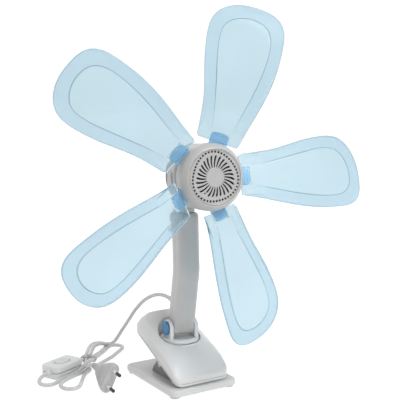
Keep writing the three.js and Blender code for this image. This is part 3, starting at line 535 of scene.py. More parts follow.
SECOND_CORD = [
    by_switch(-26.5, 0, 7.4), (-143.4, 76.6, 6.6), (-149.2, 72, 4.6), (-151.4, 65, 3),
    (-148.4, 58.2, FLOOR), (-141.4, 55.4, FLOOR), (-133.4, 58.6, FLOOR), by_switch(-20, 17.4),
    by_switch(-8, 17.2), by_switch(4, 17.2, 2.8), by_switch(13, 17, 4.4), bundle(-35, 2.6, 6.8),
    bundle(-25, 4, 7.4), bundle(-14, 5.8, 6.8), bundle(-4, 6.9, 4.6), bundle(6, 7.1, 3),
    bundle(18, 8.8), bundle(32, 11.4), bundle(44, 13.2), bundle(53.6, 14), bundle(60.8, 16.9),
    bundle(63.6, 23.8), bundle(60.8, 30.7), bundle(53.6, 33.6), bundle(44, 33),
    bundle(30, 30.4), bundle(16, 27.8), bundle(4, 24), bundle(-8, 19.8), bundle(-20, 16.6, 3.4),
    bundle(-32, 14.8, 6.6), bundle(-44, 14.2, 11), bundle(-55, 14.2, 15), (-94.4, 57, 16.7)]


def make_cord(name, points, body, nodes):
    """A free length of the lead: a tube along the line that it follows."""
    line = smooth_line(points, CORD_STEPS)
    made = piece(name, tube(line, CORD_RADIUS, CORD_SIDES), BASE, body, CORD, nodes)
    return made


def make_cords(gland, tie):
    first = make_cord("cord_to_switch", FIRST_CORD, None, ("cord_lead", "cord_hank"))
    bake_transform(first)
    make_cord("cord_to_plug", SECOND_CORD, "base", "cord_plug_lead")


GLAND_SPOT = (0, 4.34, 88)          # on the arm's rear face
SLEEVE_START = (1.2, 8.4, 88.9)
SLEEVE_POINTS = 36                  # how far along the lead the sleeve reaches
SLEEVE_RADIUS, SLEEVE_RIB, SLEEVE_RIBS = 3.7, 0.28, 18


def make_gland():
    """Collar against the arm and the tapered, ribbed sleeve round the lead."""
    collar = lathe(fillet([(0, -2), (3.5, -2), (3.5, 0.4), (5.4, 0.4), (5.4, 2.4), (3.9, 3.4),
                           (0, 3.4)], 0.4), 40)
    slope = math.atan2(ARM_LINE[1][1] - ARM_LINE[0][1], ARM_LINE[1][0] - ARM_LINE[0][0])
    collar = moved(collar, shift(GLAND_SPOT)
                   @ spin(slope - math.pi / 2, "X"))
    unpan = spin(-PAN, "Z")
    line = [unpan @ p for p in smooth_line([SLEEVE_START] + LEAD[:4], 14)]

    def radius(t):
        rib = SLEEVE_RIB if int(t * SLEEVE_RIBS) % 2 and t < 0.85 else 0
        return SLEEVE_RADIUS - 1.0 * t + rib

    sleeve = tube(line[:SLEEVE_POINTS], radius, 24)
    return stand_in("cord_gland", together(collar, sleeve), STAND, "arm", CORD)


def make_tie():
    """Plastic-coated wire wound twice round the bundle, its ends twisted together."""
    loops = []
    for offset in (-1.6, 1.6):
        outline = rounded_box_outline(-9.9, 9.9, 0.7, 6.7, 2.6)
        loops.append(tube([(x, offset, z) for x, z in [*outline, outline[0]]], 0.65, 8))
    tails = []
    for turn in (0, math.pi):
        line = [(-3 + t * 0.7 + 0.8 * math.cos(turn + t * 1.5),
                 0.8 * math.sin(turn + t * 1.5), 6.8 + t * 0.42)
                for t in (k * 0.4 for k in range(24))]
        tails.append(tube(line, 0.6, 8))
    matrix = (BASE @ shift(bundle(0, 0, 0))
              @ spin(TIE_TURN - math.pi / 2, "Z"))
    return stand_in("cord_tie", together(*loops, *tails), matrix, "base", CORD)


# ---------------- inline switch and plug
SWITCH_FRAME = (BASE @ shift((*SWITCH_SPOT, 0))
                @ spin(SWITCH_TURN, "Z"))
DISH_RADIUS, DISH_BOTTOM = 34, 15.8     # the hollow on top of the rocker
PIN_SPACING = 18.6
PLUG_FRAME = (BASE @ shift((-91, 1, 16.8)) @ spin(math.radians(-4), "Z")
              @ spin(math.radians(25), "Y"))


def oval(rx, ry, low, high, edge, segments=48):
    outline = [(rx * math.cos(a), ry * math.sin(a))
               for a in (2 * math.pi * k / segments for k in range(segments))]
    return prism(outline, low, high, edge)


def make_switch():
    outline = rounded_box_outline(-23.5, 23.5, -14.5, 14.5, 6.5, 8)
    lower = prism(outline, 0.2, 7.5, 1.2)
    upper = cut(prism(outline, 7.8, 15.6, 1.8, 6), oval(11.4, 8.0, 12.6, 20, 0))
    lip = cut(oval(12.6, 9.2, 14.6, 16.2, 0.5), oval(11.2, 7.8, 12, 20, 0))
    inlets = [tube([(side * 21.5, 0, 7.6), (side * 27.5, 0, 7.6)], lambda t: 4.2 - 1.2 * t, 20)
              for side in (-1, 1)]
    base = stand_in("switch_bottom", together(lower, *inlets), SWITCH_FRAME, "base", SWITCH)
    top = stand_in("switch_top", together(upper, lip), SWITCH_FRAME, "base", SWITCH)
    rocker = oval(10.6, 7.3, 10, 16.9, 0.8)
    dish = bpy.data.meshes.new("dish")
    soft = bmesh.new()
    bmesh.ops.create_uvsphere(soft, u_segments=64, v_segments=48, radius=DISH_RADIUS)
    soft.to_mesh(dish)
    soft.free()
    dish.transform(shift((0, 0, DISH_BOTTOM + DISH_RADIUS)))
    rocker = stand_in("switch_rocker", cut(rocker, dish), SWITCH_FRAME, "rocker", ROCKER)
    return [base, top, rocker]


def stadium(half, radius, depth, steps=10):
    """Section of the plug at a depth behind its face: a slab with rounded ends."""
    ring = []
    for end in (1, -1):
        for k in range(steps + 1):
            a = math.pi * k / steps + (0 if end > 0 else math.pi)
            ring.append((radius * math.cos(a), depth,
                         end * max(half - radius, 0.01) + radius * math.sin(a)))
    return ring


def make_plug():
    stations = [(16, 5.6, 0.0), (17, 6.4, 0.3), (17.4, 6.9, 1.0), (17.5, 7, 2), (17.4, 7, 6),
                (16.4, 6.9, 10), (14.6, 6.7, 15), (12.6, 6.5, 20), (10.6, 6.2, 25),
                (8.6, 5.6, 30), (7.2, 4.9, 33.6), (5.4, 4.2, 35.6)]
    body = loft([stadium(half, radius, depth) for half, radius, depth in stations])
    collars = [(4.8, 4.1, 35.4)]
    for k in range(5):
        depth = 36 + 3.6 * k
        size = 4.4 - 0.28 * k
        collars += [(size, size - 0.2, depth), (size, size - 0.2, depth + 2.2),
                    (size - 0.9, size - 1.0, depth + 2.5), (size - 0.9, size - 1.0, depth + 3.3)]
    neck = loft([stadium(half, radius, depth) for half, radius, depth in collars])
    grips = []
    for side in (-1, 1):
        for k in range(4):
            depth = 8 + 3.4 * k
            grips.append(tube([(side * 6.5, depth, -8), (side * 6.6, depth, 0),
                               (side * 6.5, depth, 8)], 0.5, 8))
    plug = stand_in("plug_body", together(body, neck, *grips), PLUG_FRAME, "base", PLUG)
    pins = []
    for name, side in (("plug_pin_1", 1), ("plug_pin_2", -1)):
        turn = (shift((0, 0, side * PIN_SPACING / 2))
                @ spin(math.pi / 2, "X"))
        sleeve = lathe(fillet([(0, -0.5), (1.95, -0.5), (1.95, 10), (0, 10)], 0.2), 24)
        tip = lathe(fillet([(0, 9.5), (2, 9.5), (2, 18), (1.2, 19), (0, 19)], 0.4), 24)
        pins.append(piece(name + "_sleeve", moved(sleeve, turn), PLUG_FRAME, "base", SWITCH))
        pins.append(piece(name + "_tip", moved(tip, turn), PLUG_FRAME, "base", BLACK_AND_PAINTED_SHADE,
                          name))
    return [plug, *pins]


# ---------------- base plate, feet and hinge
GROOVE_RADIUS = 0.55
PAD_RIBS, PAD_RIB_STEP = 6, 3.1


def make_base():
    outline = rounded_box_outline(-44, 44, -60, 57, 9, 10)
    plate = prism(outline, 2.4, 10, 2.0, 5)
    left = smooth_line([(-39, -48, 10.1), (-37.6, -20, 10.1), (-38.6, 8, 10.1),
                        (-37.4, 34, 10.1), (-38.4, 50, 10.1)], 12)
    right = [Vector((-p.x, p.y, p.z)) for p in left]
    plate = cut(plate, *[tube(line, GROOVE_RADIUS, 10) for line in (left, right)])
    stand_in("base_plate", plate, BASE, "base", PLATE)
    for node in ("foot_front_left", "foot_front_right", "foot_rear_left", "foot_rear_right"):
        low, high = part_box(node)
        middle = (shift(((low[0] + high[0]) / 2, (low[1] + high[1]) / 2, 0))
                  @ Matrix.Scale(MM, 4))
        foot = lathe(fillet([(0, 0), (5.4, 0), (6, 0.9), (6, 3.1), (0, 3.1)], 0.4), 40)
        stand_in(node, foot, middle, "base", RUBBER)
    pad = prism(rounded_box_outline(-31, 31, -50, -28, 6), 10.3, 12, 0.5)
    ribs = [box(-27, 27, -47.6 + PAD_RIB_STEP * k, -46.2 + PAD_RIB_STEP * k, 11.4, 12.0, 0.2)
            for k in range(PAD_RIBS)]
    stand_in("lower_pad", together(pad, *ribs), BASE, "base", RUBBER)
    refined("base_weight", "base", STEEL, 0.6)
    refined("hinge_bracket", "base", DARK, 0.5)
    refined("hinge_pin", "base", STEEL, 0.4)


# ---------------- upper jaw
# Heights of the jaw's ridge and rim, and half the width of its flat top, along Y.
JAW_TOP = [(-54, 20.5), (-47, 28.5), (-35, 40), (-20, 49.3), (0, 57.5), (20, 67), (33, 77.5)]
JAW_RIM = [(-54, 19), (-47, 25.5), (-35, 34.5), (-20, 41), (0, 49), (33, 61.5)]
JAW_FLAT = [(-54, 27), (-35, 25), (-20, 20), (0, 16.5), (33, 20)]
JAW_FRONT, JAW_BACK, JAW_HALF = -54, 46, 36
HANDLE_Y, HANDLE_Z, HANDLE_R = 33, 64.5, 13
JAW_CORNER, JAW_WALL, JAW_GROOVE = 8, 2.6, 0.8
SEAT_Z, SEAT_RADIUS = 48.8, 25.5


def keel(y):
    """Height of the jaw's lower edge."""
    return 34.2 + 0.427 * y


def jaw_ring(y, gap=0.0):
    """Section of the jaw across X at a place along Y; gap draws its hollow instead."""
    edge = min(y - JAW_FRONT, JAW_BACK - y, JAW_CORNER)
    rim = JAW_HALF - JAW_CORNER - gap
    rim += math.sqrt(max(0, JAW_CORNER ** 2 - (JAW_CORNER - edge) ** 2))
    level = min(y, HANDLE_Y)
    top, middle, bottom = along(JAW_TOP, level), along(JAW_RIM, level), keel(level)
    if y > HANDLE_Y:
        arc = math.sqrt(max(0, HANDLE_R ** 2 - (y - HANDLE_Y) ** 2))
        top = HANDLE_Z + arc
        middle = HANDLE_Z - 2.5 * arc / HANDLE_R
        bottom = max(bottom, HANDLE_Z - arc * 1.2)
    top -= gap
    middle -= gap * 0.6
    flat = min(along(JAW_FLAT, level), rim - 6) - gap * 0.4
    shoulder = (flat + (rim - flat) * 0.55, middle + (top - middle) * 0.66)
    low = bottom - 12 if gap else bottom
    room = min(1, max(0.1, (middle - low) / 6))
    groove = JAW_GROOVE if y <= HANDLE_Y and not gap else 0
    half = [(rim - 1.2, low), (rim, low + 1.6 * room), (rim, low + 2.9 * room),
            (rim - groove, low + 3.1 * room), (rim - groove, low + 3.9 * room),
            (rim, low + 4.1 * room), (rim, middle), shoulder, (flat, top - 0.4),
            (flat * 0.5, top), (0, top)]
    right = fillet(half, [0, 1, 0, 0, 0, 0, 1.8, 2, 2, 2, 0], 5, closed=False)
    ring = [(p.x, y, p.y) for p in right]
    return ring + [(-x, y, z) for x, y, z in reversed(ring[:-1])]


def make_jaw():
    spots = [JAW_FRONT + d for d in (0, 0.25, 0.8, 1.8, 3.2, 5, 6.6, 8)]
    spots += [-44 + 3 * k for k in range(26)]
    spots += [HANDLE_Y + HANDLE_R * math.sin(math.radians(a))
              for a in (6, 16, 28, 40, 52, 62, 70, 76, 81, 85)]
    shell = loft([jaw_ring(y) for y in spots])
    hollow = loft([jaw_ring(y, JAW_WALL)
                   for y in [-42.5 + 5 * k for k in range(16)] + [36, 39, 42, 43.4]])
    cup = lathe([(0, 44), (27.9, 44), (27.9, 90), (0, 90)], 96)
    cup = boolean(cup, "INTERSECT", loft([jaw_ring(y) for y in spots]))
    boss = lathe([(0, 42.8), (25.1, 42.8), (25.1, SEAT_Z), (0, SEAT_Z)], 96)
    pocket = lathe(fillet([(0, SEAT_Z), (SEAT_RADIUS, SEAT_Z), (SEAT_RADIUS, 100), (0, 100)],
                          0.4), 96)
    hole = lathe([(0, 20), (5, 20), (5, 60), (0, 60)], 40)
    lip = box(-29, 29, JAW_FRONT - 1, JAW_FRONT + JAW_GROOVE, keel(JAW_FRONT) + 3,
              keel(JAW_FRONT) + 4)
    jaw = cut(fused(cut(shell, hollow), cup, boss), pocket, hole, lip)
    stand_in("upper_jaw", jaw, BASE, "jaw", WHITE, 32)
    refined("upper_pad", "jaw", RUBBER, 0.3)
    refined("jaw_bracket", "jaw", DARK, 0.4)
    spring = refined("clip_spring", None, STEEL, 0.1)
    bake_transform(spring)


# ---------------- turntable and pivot
PIVOT_FORWARD, PIVOT_Z, EAR_RADIUS = 6, 66.5, 9.8


def make_turntable():
    disc = lathe(fillet([(0, 49.1), (22.6, 49.1), (23, 50), (23, 53), (21.8, 54.4), (19.4, 54.4),
                         (19.0, 53.9), (18.4, 54.4), (0, 54.4)], 0.5), 96)
    spigot = lathe([(0, 42.5), (4.6, 42.5), (4.6, 50), (0, 50)], 40)
    shells = [disc, spigot]
    for x0, x1 in ((13.2, 17.8), (-17.8, -13.2)):
        outline = [(PIVOT_FORWARD + EAR_RADIUS, 53.8),
                   *arc((PIVOT_FORWARD, PIVOT_Z), EAR_RADIUS, 0, math.pi),
                   (PIVOT_FORWARD - EAR_RADIUS, 53.8)]
        shells.append(sideways(prism(outline, x0, x1, 0.9)))
    stand_in("turntable", together(*shells), STAND, "turntable", WHITE)
    for name, side, radius, height, blue in (("pivot_cap_left", -1, 8.5, 3, CAP),
                                             ("pivot_cap_right", 1, 5.9, 1.2, CAP_RIGHT)):
        cap = lathe(fillet([(0, 18.6), (radius, 18.6), (radius, 18.5 + height),
                            (radius - 1.2, 18.6 + height), (0, 18.3 + height)], 0.8), 64)
        turn = (shift((0, -PIVOT_FORWARD, PIVOT_Z))
                @ spin(side * math.pi / 2, "Y"))
        stand_in(name, moved(cap, turn), STAND, "turntable", blue)
    for node in ("turntable_screw", "turntable_washer", "pivot_bolt"):
        refined(node, "turntable", STEEL, 0.25)


# ---------------- arm
ARM_LOW, ARM_HIGH, ARM_END = 78, 206, 5
ARM_HALF_WIDTH, ARM_HALF_DEPTH, ARM_CORNER, ARM_SEAM = 13, 15, 8, 0.14
TILT_FORWARD, TILT_Z = 18, 247.7
SCREW_HEIGHTS = (106, 144, 188)


def arm_forward(z):
    """How far forward the middle of the arm is; the bend is a soft curve."""
    (z0, f0), (z1, f1), (z2, f2) = ARM_LINE
    lower = f0 + (f1 - f0) * (z - z0) / (z1 - z0)
    upper = f1 + (f2 - f1) * (z - z1) / (z2 - z1)
    t = min(max((z - (z1 - 14)) / 28, 0), 1)
    return lower + (upper - lower) * t * t * (3 - 2 * t)


def arm_ring(z, gap, front):
    """Section of the front or rear half of the arm, bevelled at the seam."""
    half_x, half_f, corner = ARM_HALF_WIDTH - gap, ARM_HALF_DEPTH - gap, max(ARM_CORNER - gap, 1)
    middle = arm_forward(z)
    side = 1 if front else -1
    bevel = 0.35
    ring = [(half_x - bevel, middle + side * ARM_SEAM),
            (half_x, middle + side * (ARM_SEAM + bevel))]
    for turn in (0, 1):
        centre = (half_x - corner) * (1 if turn == 0 else -1)
        for k in range(9):
            a = math.pi / 2 * (k / 8 + turn)
            ring.append((centre + corner * math.cos(a),
                         middle + side * (half_f - corner + corner * math.sin(a))))
    ring += [(-half_x, middle + side * (ARM_SEAM + bevel)),
             (-half_x + bevel, middle + side * ARM_SEAM)]
    return [(x, -f, z) for x, f in ring]


def arm_half(front):
    stations = [(ARM_LOW, 0.5), (ARM_LOW + 0.15, 0.15), (ARM_LOW + 0.5, 0)]
    stations += [(ARM_LOW + ARM_END + 4 * k, 0) for k in range(30)]
    stations += [(ARM_HIGH - ARM_END * (1 - math.cos(a)), ARM_END * (1 - math.sin(a)))
                 for a in (math.pi / 2 * k / 5 for k in range(5, -1, -1))]
    return loft([arm_ring(z, gap, front) for z, gap in stations])


# Height, rear face, front face and corner radius of the arm's foot.
NECK = [(60.8, 1.5, 11, 2.5), (62, -0.2, 12.8, 3), (64, -1.6, 14.3, 4), (67, -2.8, 16.2, 5.5),
        (70, -3.7, 18.2, 6.6), (74, -5.1, 20.9, 7.6), (78, -6.43, 23.41, 8),
        (84, -5.13, 24.71, 8)]


def neck_ring(z, back, front, corner):
    """Section of the foot of the arm, from its rear face to its front face."""
    return [(x, -f, z) for x, f in rounded_box_outline(-12.92, 12.92, back, front, corner, 8)]


def make_arm():
    piece("arm_front_fine", arm_half(True), STAND, "arm", ARM,
          "arm_front_shell", 30)
    circle = arc((PIVOT_FORWARD, PIVOT_Z), 8.8, 0, 2 * math.pi, 48)[:-1]
    barrel = sideways(prism(circle, -12.8, 12.8, 0.8))
    neck = loft([neck_ring(*section) for section in NECK])
    tongue = [(30, 206.3), *arc((TILT_FORWARD, TILT_Z), 12, 0, math.pi), (6, 198), (15.8, 198),
              (15.8, 206.3)]
    tongue = sideways(prism(tongue, -7, 7, 1.0))
    sinks = []
    for z in SCREW_HEIGHTS:
        turn = (shift((0, -(arm_forward(z) - 16.5), z))
                @ spin(math.pi / 2, "X"))
        sinks.append(moved(lathe([(0, -4), (3.3, -4), (3.3, 2.4), (0, 2.4)], 32), turn))
    rear = together(cut(arm_half(False), *sinks), neck, barrel, tongue)
    piece("arm_rear_fine", rear, STAND, "arm", ARM, "arm_rear_shell", 30)
    for k in (1, 2, 3):
        refined("arm_screw_%d" % k, "arm", STEEL, 0.2)


# ---------------- motor head
VENTS, BLOCKED_VENTS = 10, (4, 9)       # no vent opens behind either ear


def make_head():
    rear = lathe(fillet([(0, 23), (29.5, 23), (34, 26.4), (36, 31), (36, 45), (33.6, 45),
                         (33.6, 32), (31.8, 28.2), (28.6, 25.4), (0, 25.4)],
                        [0, 3, 3, 3, 0.5, 0.5, 1, 1, 1, 0]), 128)
    vents = [moved(box(14.5, 25, -1.4, 1.4, 20, 30),
                   spin(math.pi / VENTS + 2 * math.pi * k / VENTS, "Z"))
             for k in range(VENTS) if k not in BLOCKED_VENTS]
    sides = [box(*x, -8.5, 8.5, 30.6, 37.4) for x in ((-40, -34.6), (34.6, 40))]
    rear = cut(rear, *vents, *sides)
    rear.transform(spin(math.pi / 2, "X"))
    ears = []
    for x0, x1 in ((7.4, 12.4), (-12.4, -7.4)):
        outline = [(25, -12), (25, 12), *arc((0, 0), 12, math.pi / 2, math.pi)]
        ears.append(sideways(prism(outline, x0, x1, 0.8)))
    piece("motor_rear_fine", together(rear, *ears), HEAD, "head", ARM,
          "motor_rear_cover", 32)
    front = lathe(fillet([(8.2, 51), (10.4, 51), (10.4, 54.6), (31.6, 54.6), (33.6, 52.6),
                          (33.6, 45.3), (36, 45.3), (36, 54.6), (33.6, 57), (8.2, 57)],
                         [0.3, 0.3, 0.3, 1, 1, 0.3, 0.5, 2.5, 2.5, 0.4]), 128)
    front = cut(front, *[box(*x, -6, 6, 47.4, 54) for x in ((-40, -34.8), (34.8, 40))])
    piece("motor_front_fine", front, ROTOR, "head", ARM, "motor_front_cover", 32)
    refined("tilt_pin", "head", STEEL, 0.3)
    refined("stator_core", "head", STEEL, 0.4)
    for node in ("winding_rear", "winding_front"):
        refined(node, "head", COPPER, 0.2)
    for node in ("bearing_rear", "bearing_front", "motor_screw_left", "motor_screw_right"):
        refined(node, "head", STEEL, 0.2)


# ---------------- rotor
BLADES = 5
BLADE_PITCH = math.radians(-19.6)
BLADE_CONE = math.radians(8.5)
BLADE_FIRST = math.radians(-1)
BLADE_PIVOT = 42
BLADE_BOW = 0.0011
BLADE_MIDDLE = (112, 4)
BLADE_ROOT = 38.3
BLADE_HALF = 1.05           # half the panel's thickness
BLADE_INSET = 0.45          # keeps the drawn edge inside the CAD model's box
BAND_INDEX, EDGE_SHADE_INDEX = 1, 2


def on_blade(k):
    """From a blade's own plane (x out, y counter-clockwise, z forward) to the rotor."""
    return (spin(BLADE_FIRST + k * 2 * math.pi / BLADES, "Z")
            @ shift((BLADE_PIVOT, 0, 66))
            @ spin(-BLADE_CONE, "Y") @ spin(BLADE_PITCH, "X")
            @ shift((-BLADE_PIVOT, 0, 0)))


def flat_line(points, closed=False):
    return [(p.x, p.y) for p in smooth_line([(x, y, 0) for x, y in points], 6, closed)]


def blade_outline():
    """Counter-clockwise edge of a blade: root, leading edge, tip, trailing edge."""
    root = BLADE_ROOT
    line = [(root, 14), (root, 4), (root, -6), (root, -16)]
    line += bezier((root, -16), (root, -21), (39.4, -22.4), (42, -23))
    line += flat_line([(42, -23), (60, -26.2), (80, -30.6), (100, -34.4), (118, -36.4),
                       (134, -36.8), (150, -35.8), (163, -34.2), (172, -32), (178.4, -28.8),
                       (183.4, -24.4), (187, -18.6), (189.4, -11), (190.3, -2), (190.3, 7),
                       (189.5, 16), (187.5, 24.6), (184.2, 32.4), (179.4, 39.6), (173.4, 45.2),
                       (166, 48.8), (157, 50), (146, 49.2), (134, 47), (118, 43), (100, 37.2),
                       (80, 31.2), (60, 27.6), (42, 25.4)])[1:]
    return line + bezier((42, 25.4), (39.4, 24.8), (root, 23.4), (root, 19))


def blade_panel():
    """Edge of the inner panel, which runs inside the outline and closes before the root."""
    return flat_line([(50, -11.5), (62, -12.6), (80, -16), (100, -19.6), (118, -21.8),
                      (136, -22.6), (152, -21.6), (163, -18.6), (170.4, -13.4), (174.6, -6),
                      (176, 3), (175.4, 12), (172.6, 20.6), (168, 28), (161.4, 33.2), (152, 35),
                      (138, 33.4), (120, 28.8), (100, 23), (80, 17.6), (62, 13.4), (50, 11.8),
                      (46, 6), (46, -6)], closed=True)


def reach(outline, angle):
    """Distance from the blade's middle to an outline in one direction."""
    c, s = math.cos(angle), math.sin(angle)
    best = 0
    for i, (x1, y1) in enumerate(outline):
        x0, y0 = outline[i - 1]
        ax, ay = x0 - BLADE_MIDDLE[0], y0 - BLADE_MIDDLE[1]
        dx, dy = x1 - x0, y1 - y0
        across = c * dy - s * dx
        if abs(across) < 1e-9:
            continue
        along_edge = (s * ax - c * ay) / across
        distance = (ax * dy - ay * dx) / across
        if -1e-6 <= along_edge <= 1 + 1e-6 and distance > best:
            best = distance
    return best


def blade_mesh():
    """Thin bowed skin: a beaded edge, a shallow band inside it and a slightly thicker panel."""
    outline = blade_outline()
    panel = blade_panel()
    centre_x, centre_y = BLADE_MIDDLE
    rims = []
    for x, y in outline:
        angle = math.atan2(y - centre_y, x - centre_x)
        outer = math.hypot(x - centre_x, y - centre_y) - BLADE_INSET
        inner = min(reach(panel, angle), outer - 4)
        spots = [(inner * 0.3, BLADE_HALF), (inner * 0.6, BLADE_HALF), (inner * 0.85, BLADE_HALF),
                 (inner - 1.2, BLADE_HALF), (inner - 0.5, 1.0), (inner - 0.25, 0.55),
                 (inner + 0.25, 0.55), (inner + 0.6, 0.75), ((inner + outer) / 2, 0.75),
                 (outer - 2.4, 0.8), (outer - 1.5, 1.2), (outer - 0.7, 1.2), (outer - 0.2, 0.8),
                 (outer, 0.3)]
        rims.append([(centre_x + math.cos(angle) * r, centre_y + math.sin(angle) * r, half)
                     for r, half in spots])
    count, depth = len(rims), len(rims[0])
    vertices = []
    for side in (1, -1):
        vertices.append((*BLADE_MIDDLE, side * BLADE_HALF))
        for k in range(depth):
            vertices += [(rim[k][0], rim[k][1], side * rim[k][2]) for rim in rims]
    vertices = [(x, y, z - BLADE_BOW * (x - BLADE_PIVOT) ** 2) for x, y, z in vertices]
    half_count = 1 + depth * count
    faces = []
    for side in (0, 1):
        start = side * half_count
        for i in range(count):
            j = (i + 1) % count
            faces.append((start, start + 1 + i, start + 1 + j))
            for k in range(depth - 1):
                a = start + 1 + k * count
                faces.append((a + i, a + count + i, a + count + j, a + j))
    last = 1 + (depth - 1) * count
    for i in range(count):
        j = (i + 1) % count
        faces.append((last + i, half_count + last + i, half_count + last + j, last + j))
    wedge = fillet([(38.4, -3.5), (50.5, -3.5), (68, -1.2), (68, 0), (38.4, 0.6)],
                   [0.4, 3, 0.3, 0.3, 0.3])
    pad = moved(prism(wedge, -23.6, 21.4), spin(math.pi / 2, "X"))
    pocket = box(36, 50, -10.4, 10.4, -10, -0.35)
    return fused(mesh_of(vertices, faces), cut(pad, pocket))


def make_blades():
    first = blade_mesh()
    outline = blade_outline()
    panel = blade_panel()
    for k in range(BLADES):
        name = "blade_%d" % (k + 1)
        made = stand_in(name, moved(first.copy(), on_blade(k)), ROTOR, "rotor", BLADE,
                        24)
        made.data.materials.append(BLADE_BAND)
        made.data.materials.append(BLADE_EDGE_SHADE)
        onto_blade = (ROTOR @ on_blade(k)).inverted()
        for face in made.data.polygons:
            spot = onto_blade @ face.center
            if spot.x < 52:
                continue
            angle = math.atan2(spot.y - BLADE_MIDDLE[1], spot.x - BLADE_MIDDLE[0])
            radius = math.hypot(spot.x - BLADE_MIDDLE[0], spot.y - BLADE_MIDDLE[1])
            line = reach(panel, angle)
            # Painted shade: faces near the rim and along the panel's edge take the darker edge
            # colour.
            if reach(outline, angle) - radius < 1.4 or abs(radius - line) < 0.5:
                face.material_index = EDGE_SHADE_INDEX
            elif radius > line:
                face.material_index = BAND_INDEX


def tab_outline():
    """Edge of the blue tab that holds a blade."""
    return [(29, -10), (45.5, -10), *bezier((45.5, -10), (48.2, -10), (49.4, -4), (49.4, 0)),
            *bezier((49.4, 0), (49.4, 4), (48.2, 10), (45.5, 10)), (29, 10)]


LOBE_ANGLE = math.radians(100)
GRILLE_SLOTS, SHORT_SLOT = 27, 18
SLOT_INNER, SLOT_OUTER, SLOT_LOBE, SLOT_SWIRL = 10.4, 22.1, 0.07, 0.14
GRILLE_HOLES, HOLE_RING, HOLE_LOBE = 45, 26.3, 0.045
DOT_RING, DOT_ANGLE = 20.6, math.radians(232.7)
CUT_LOW, CUT_HIGH = 78.6, 87        # the grille's cutters pass right through it


def lobed(angle, radius, depth):
    """Radius of a soft three-lobed ring."""
    return radius * (1 + depth * math.cos(3 * (angle - LOBE_ANGLE)))


def make_hub():
    carrier = lathe(fillet([(3.1, 59.8), (9, 59.8), (9, 62), (28, 62), (28, 60.8), (33, 60.8),
                            (33, 63), (31.2, 63), (31.2, 72), (28, 72), (28, 65), (9, 65),
                            (9, 70), (3.1, 70)], 0.4, 3), 96)
    tabs = [moved(prism(tab_outline(), -3.2, -0.6, 0.5), on_blade(k)) for k in range(BLADES)]
    hub = stand_in("hub_carrier", together(carrier, *tabs), ROTOR, "rotor", HUB)
    hub.data.materials.append(BLACK_AND_PAINTED_SHADE)    # painted shade: the carrier's front face under the grille is black, the dark inside the dome
    onto_rotor = ROTOR.inverted()
    # Painted shade: faces of the carrier's front inside the dome take the black material.
    for face in hub.data.polygons:
        spot = onto_rotor @ face.center
        if spot.z > 61.9 and math.hypot(spot.x, spot.y) < 31.5:
            face.material_index = 1
    shell = lathe(fillet([(36.7, 62.4), (36.7, 73.4), (35.6, 77.4), (32.6, 81.8), (30.8, 83.2),
                          (30, 83.2), (30, 80.8), (28.2, 80.8), (28.2, 78.8), (31.4, 78.8),
                          (34.5, 73.4), (34.5, 62.4)],
                         [0.5, 6, 5, 2, 0.35, 0.35, 0.1, 0.1, 0.3, 3, 6, 0.4], 6), 160)
    notches = [moved(box(30.5, 42, -11.4, 11.4, -22, 0.4), on_blade(k)) for k in range(BLADES)]
    stand_in("dome", cut(shell, *notches), ROTOR, "rotor", DOME, 32)
    refined("hub_nut", "rotor", STEEL, 0.3)
    for node in ("shaft", "rotor_core"):
        refined(node, "rotor", STEEL, 0.3)


def grille_slot(index, steps=8):
    """One swept slot from near the middle out to the lobed ring."""
    start = index * 2 * math.pi / GRILLE_SLOTS
    outer = lobed(start, SLOT_OUTER, SLOT_LOBE)
    length = 0.7 if index == SHORT_SLOT else 1.0
    left, right = [], []
    for step in range(steps + 1):
        t = length * step / steps
        r = SLOT_INNER + t * (outer - SLOT_INNER)
        a = start - SLOT_SWIRL * t ** 1.4
        width = (0.6 + 0.62 * t) * (1 if 0 < step < steps else 0.5)
        left.append((r * math.cos(a - width / r), r * math.sin(a - width / r)))
        right.append((r * math.cos(a + width / r), r * math.sin(a + width / r)))
    return prism(left + list(reversed(right)), CUT_LOW, CUT_HIGH)


def make_grille():
    plate = lathe(fillet([(0, 81.1), (29.7, 81.1), (29.7, 83.0), (29.1, 83.1), (28.5, 82.6),
                          (10.2, 82.6), (9.6, 82.9), (0, 82.9)], 0.2, 3), 128)
    cutters = [grille_slot(k) for k in range(GRILLE_SLOTS)]
    for k in range(GRILLE_HOLES):
        a = 2 * math.pi * k / GRILLE_HOLES
        hole = box(-1.1, 1.1, -1.1, 1.1, CUT_LOW, CUT_HIGH)
        cutters.append(moved(hole, spin(a, "Z") @ shift(
            (lobed(a, HOLE_RING, HOLE_LOBE), 0, 0))))
    dot = lathe([(0, CUT_LOW), (0.9, CUT_LOW), (0.9, CUT_HIGH), (0, CUT_HIGH)], 16)
    cutters.append(moved(dot, shift((DOT_RING * math.cos(DOT_ANGLE),
                                                  DOT_RING * math.sin(DOT_ANGLE), 0))))
    stand_in("vent_grille", cut(plate, together(*cutters)), ROTOR, "rotor", GRILLE)


# ---------------- studio
FLOOR_HALF = 6
WORLD_DIM, WORLD_BRIGHT = 0.3, 1.05


def area_light(name, spot, target, size, power):
    """Square lamp that faces a target."""
    data = bpy.data.lights.new(name, "AREA")
    data.shape = "SQUARE"
    data.size = size
    data.energy = power
    light = bpy.data.objects.new(name, data)
    light.location = spot
    light.rotation_euler = (Vector(target) - Vector(spot)).to_track_quat("-Z", "Y").to_euler()
    link(light)


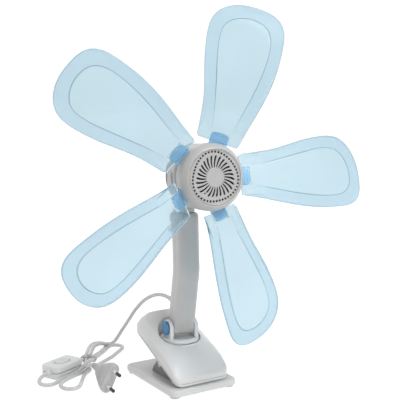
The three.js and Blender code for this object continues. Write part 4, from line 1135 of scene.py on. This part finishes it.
def make_world():
    """White surroundings: brightest behind and above the fan, and along the horizon."""
    world = bpy.data.worlds.new("studio")
    world.use_nodes = True
    tree = world.node_tree
    background = tree.nodes["Background"]
    direction = tree.nodes.new("ShaderNodeTexCoord").outputs["Generated"]
    facing = tree.nodes.new("ShaderNodeVectorMath")
    facing.operation = "DOT_PRODUCT"
    facing.inputs[1].default_value = (0, 0.8, 0.6)
    height = tree.nodes.new("ShaderNodeSeparateXYZ")
    brighter = tree.nodes.new("ShaderNodeMath")
    brighter.operation = "MAXIMUM"
    tree.links.new(direction, facing.inputs[0])
    tree.links.new(direction, height.inputs["Vector"])
    behind = remap(tree, facing.outputs["Value"], WORLD_DIM, WORLD_BRIGHT, -0.1, 0.5)
    horizon = remap(tree, height.outputs["Z"], WORLD_BRIGHT, WORLD_DIM, 0.12, 0.3)
    tree.links.new(behind, brighter.inputs[0])
    tree.links.new(horizon, brighter.inputs[1])
    tree.links.new(brighter.outputs["Value"], background.inputs["Strength"])
    background.inputs["Color"].default_value = (1, 1, 1, 1)
    bpy.context.scene.world = world


def make_studio():
    mesh = bpy.data.meshes.new("floor")
    size = FLOOR_HALF
    mesh.from_pydata([(-size, -size, 0), (size, -size, 0), (size, size, 0), (-size, size, 0)],
                     [], [(0, 1, 2, 3)])
    floor = bpy.data.objects.new("floor", mesh)
    material, tree, shader = new_material("floor_paper", (0.3, 0.3, 0.3), 0.9)
    shader.inputs["Emission Color"].default_value = (1, 1, 1, 1)
    shader.inputs["Emission Strength"].default_value = 0.8
    bump(tree, shader, add_noise(tree, 300), 0.05, 0.0001)
    mesh.materials.append(material)
    link(floor)
    make_world()
    area_light("key", (0.25, -0.95, 1.5), (0, 0, 0.15), 0.9, 22)
    area_light("fill", (0.2, -1.9, 0.3), (0, 0, 0.2), 0.7, 5)
    bpy.context.scene.view_settings.view_transform = "Standard"


# ---------------- build
make_camera()
switch_pieces = make_switch()
plug_pieces = make_plug()
make_cords(make_gland(), make_tie())
make_base()
make_jaw()
make_turntable()
make_arm()
make_head()
make_blades()
make_hub()
make_grille()
make_studio()
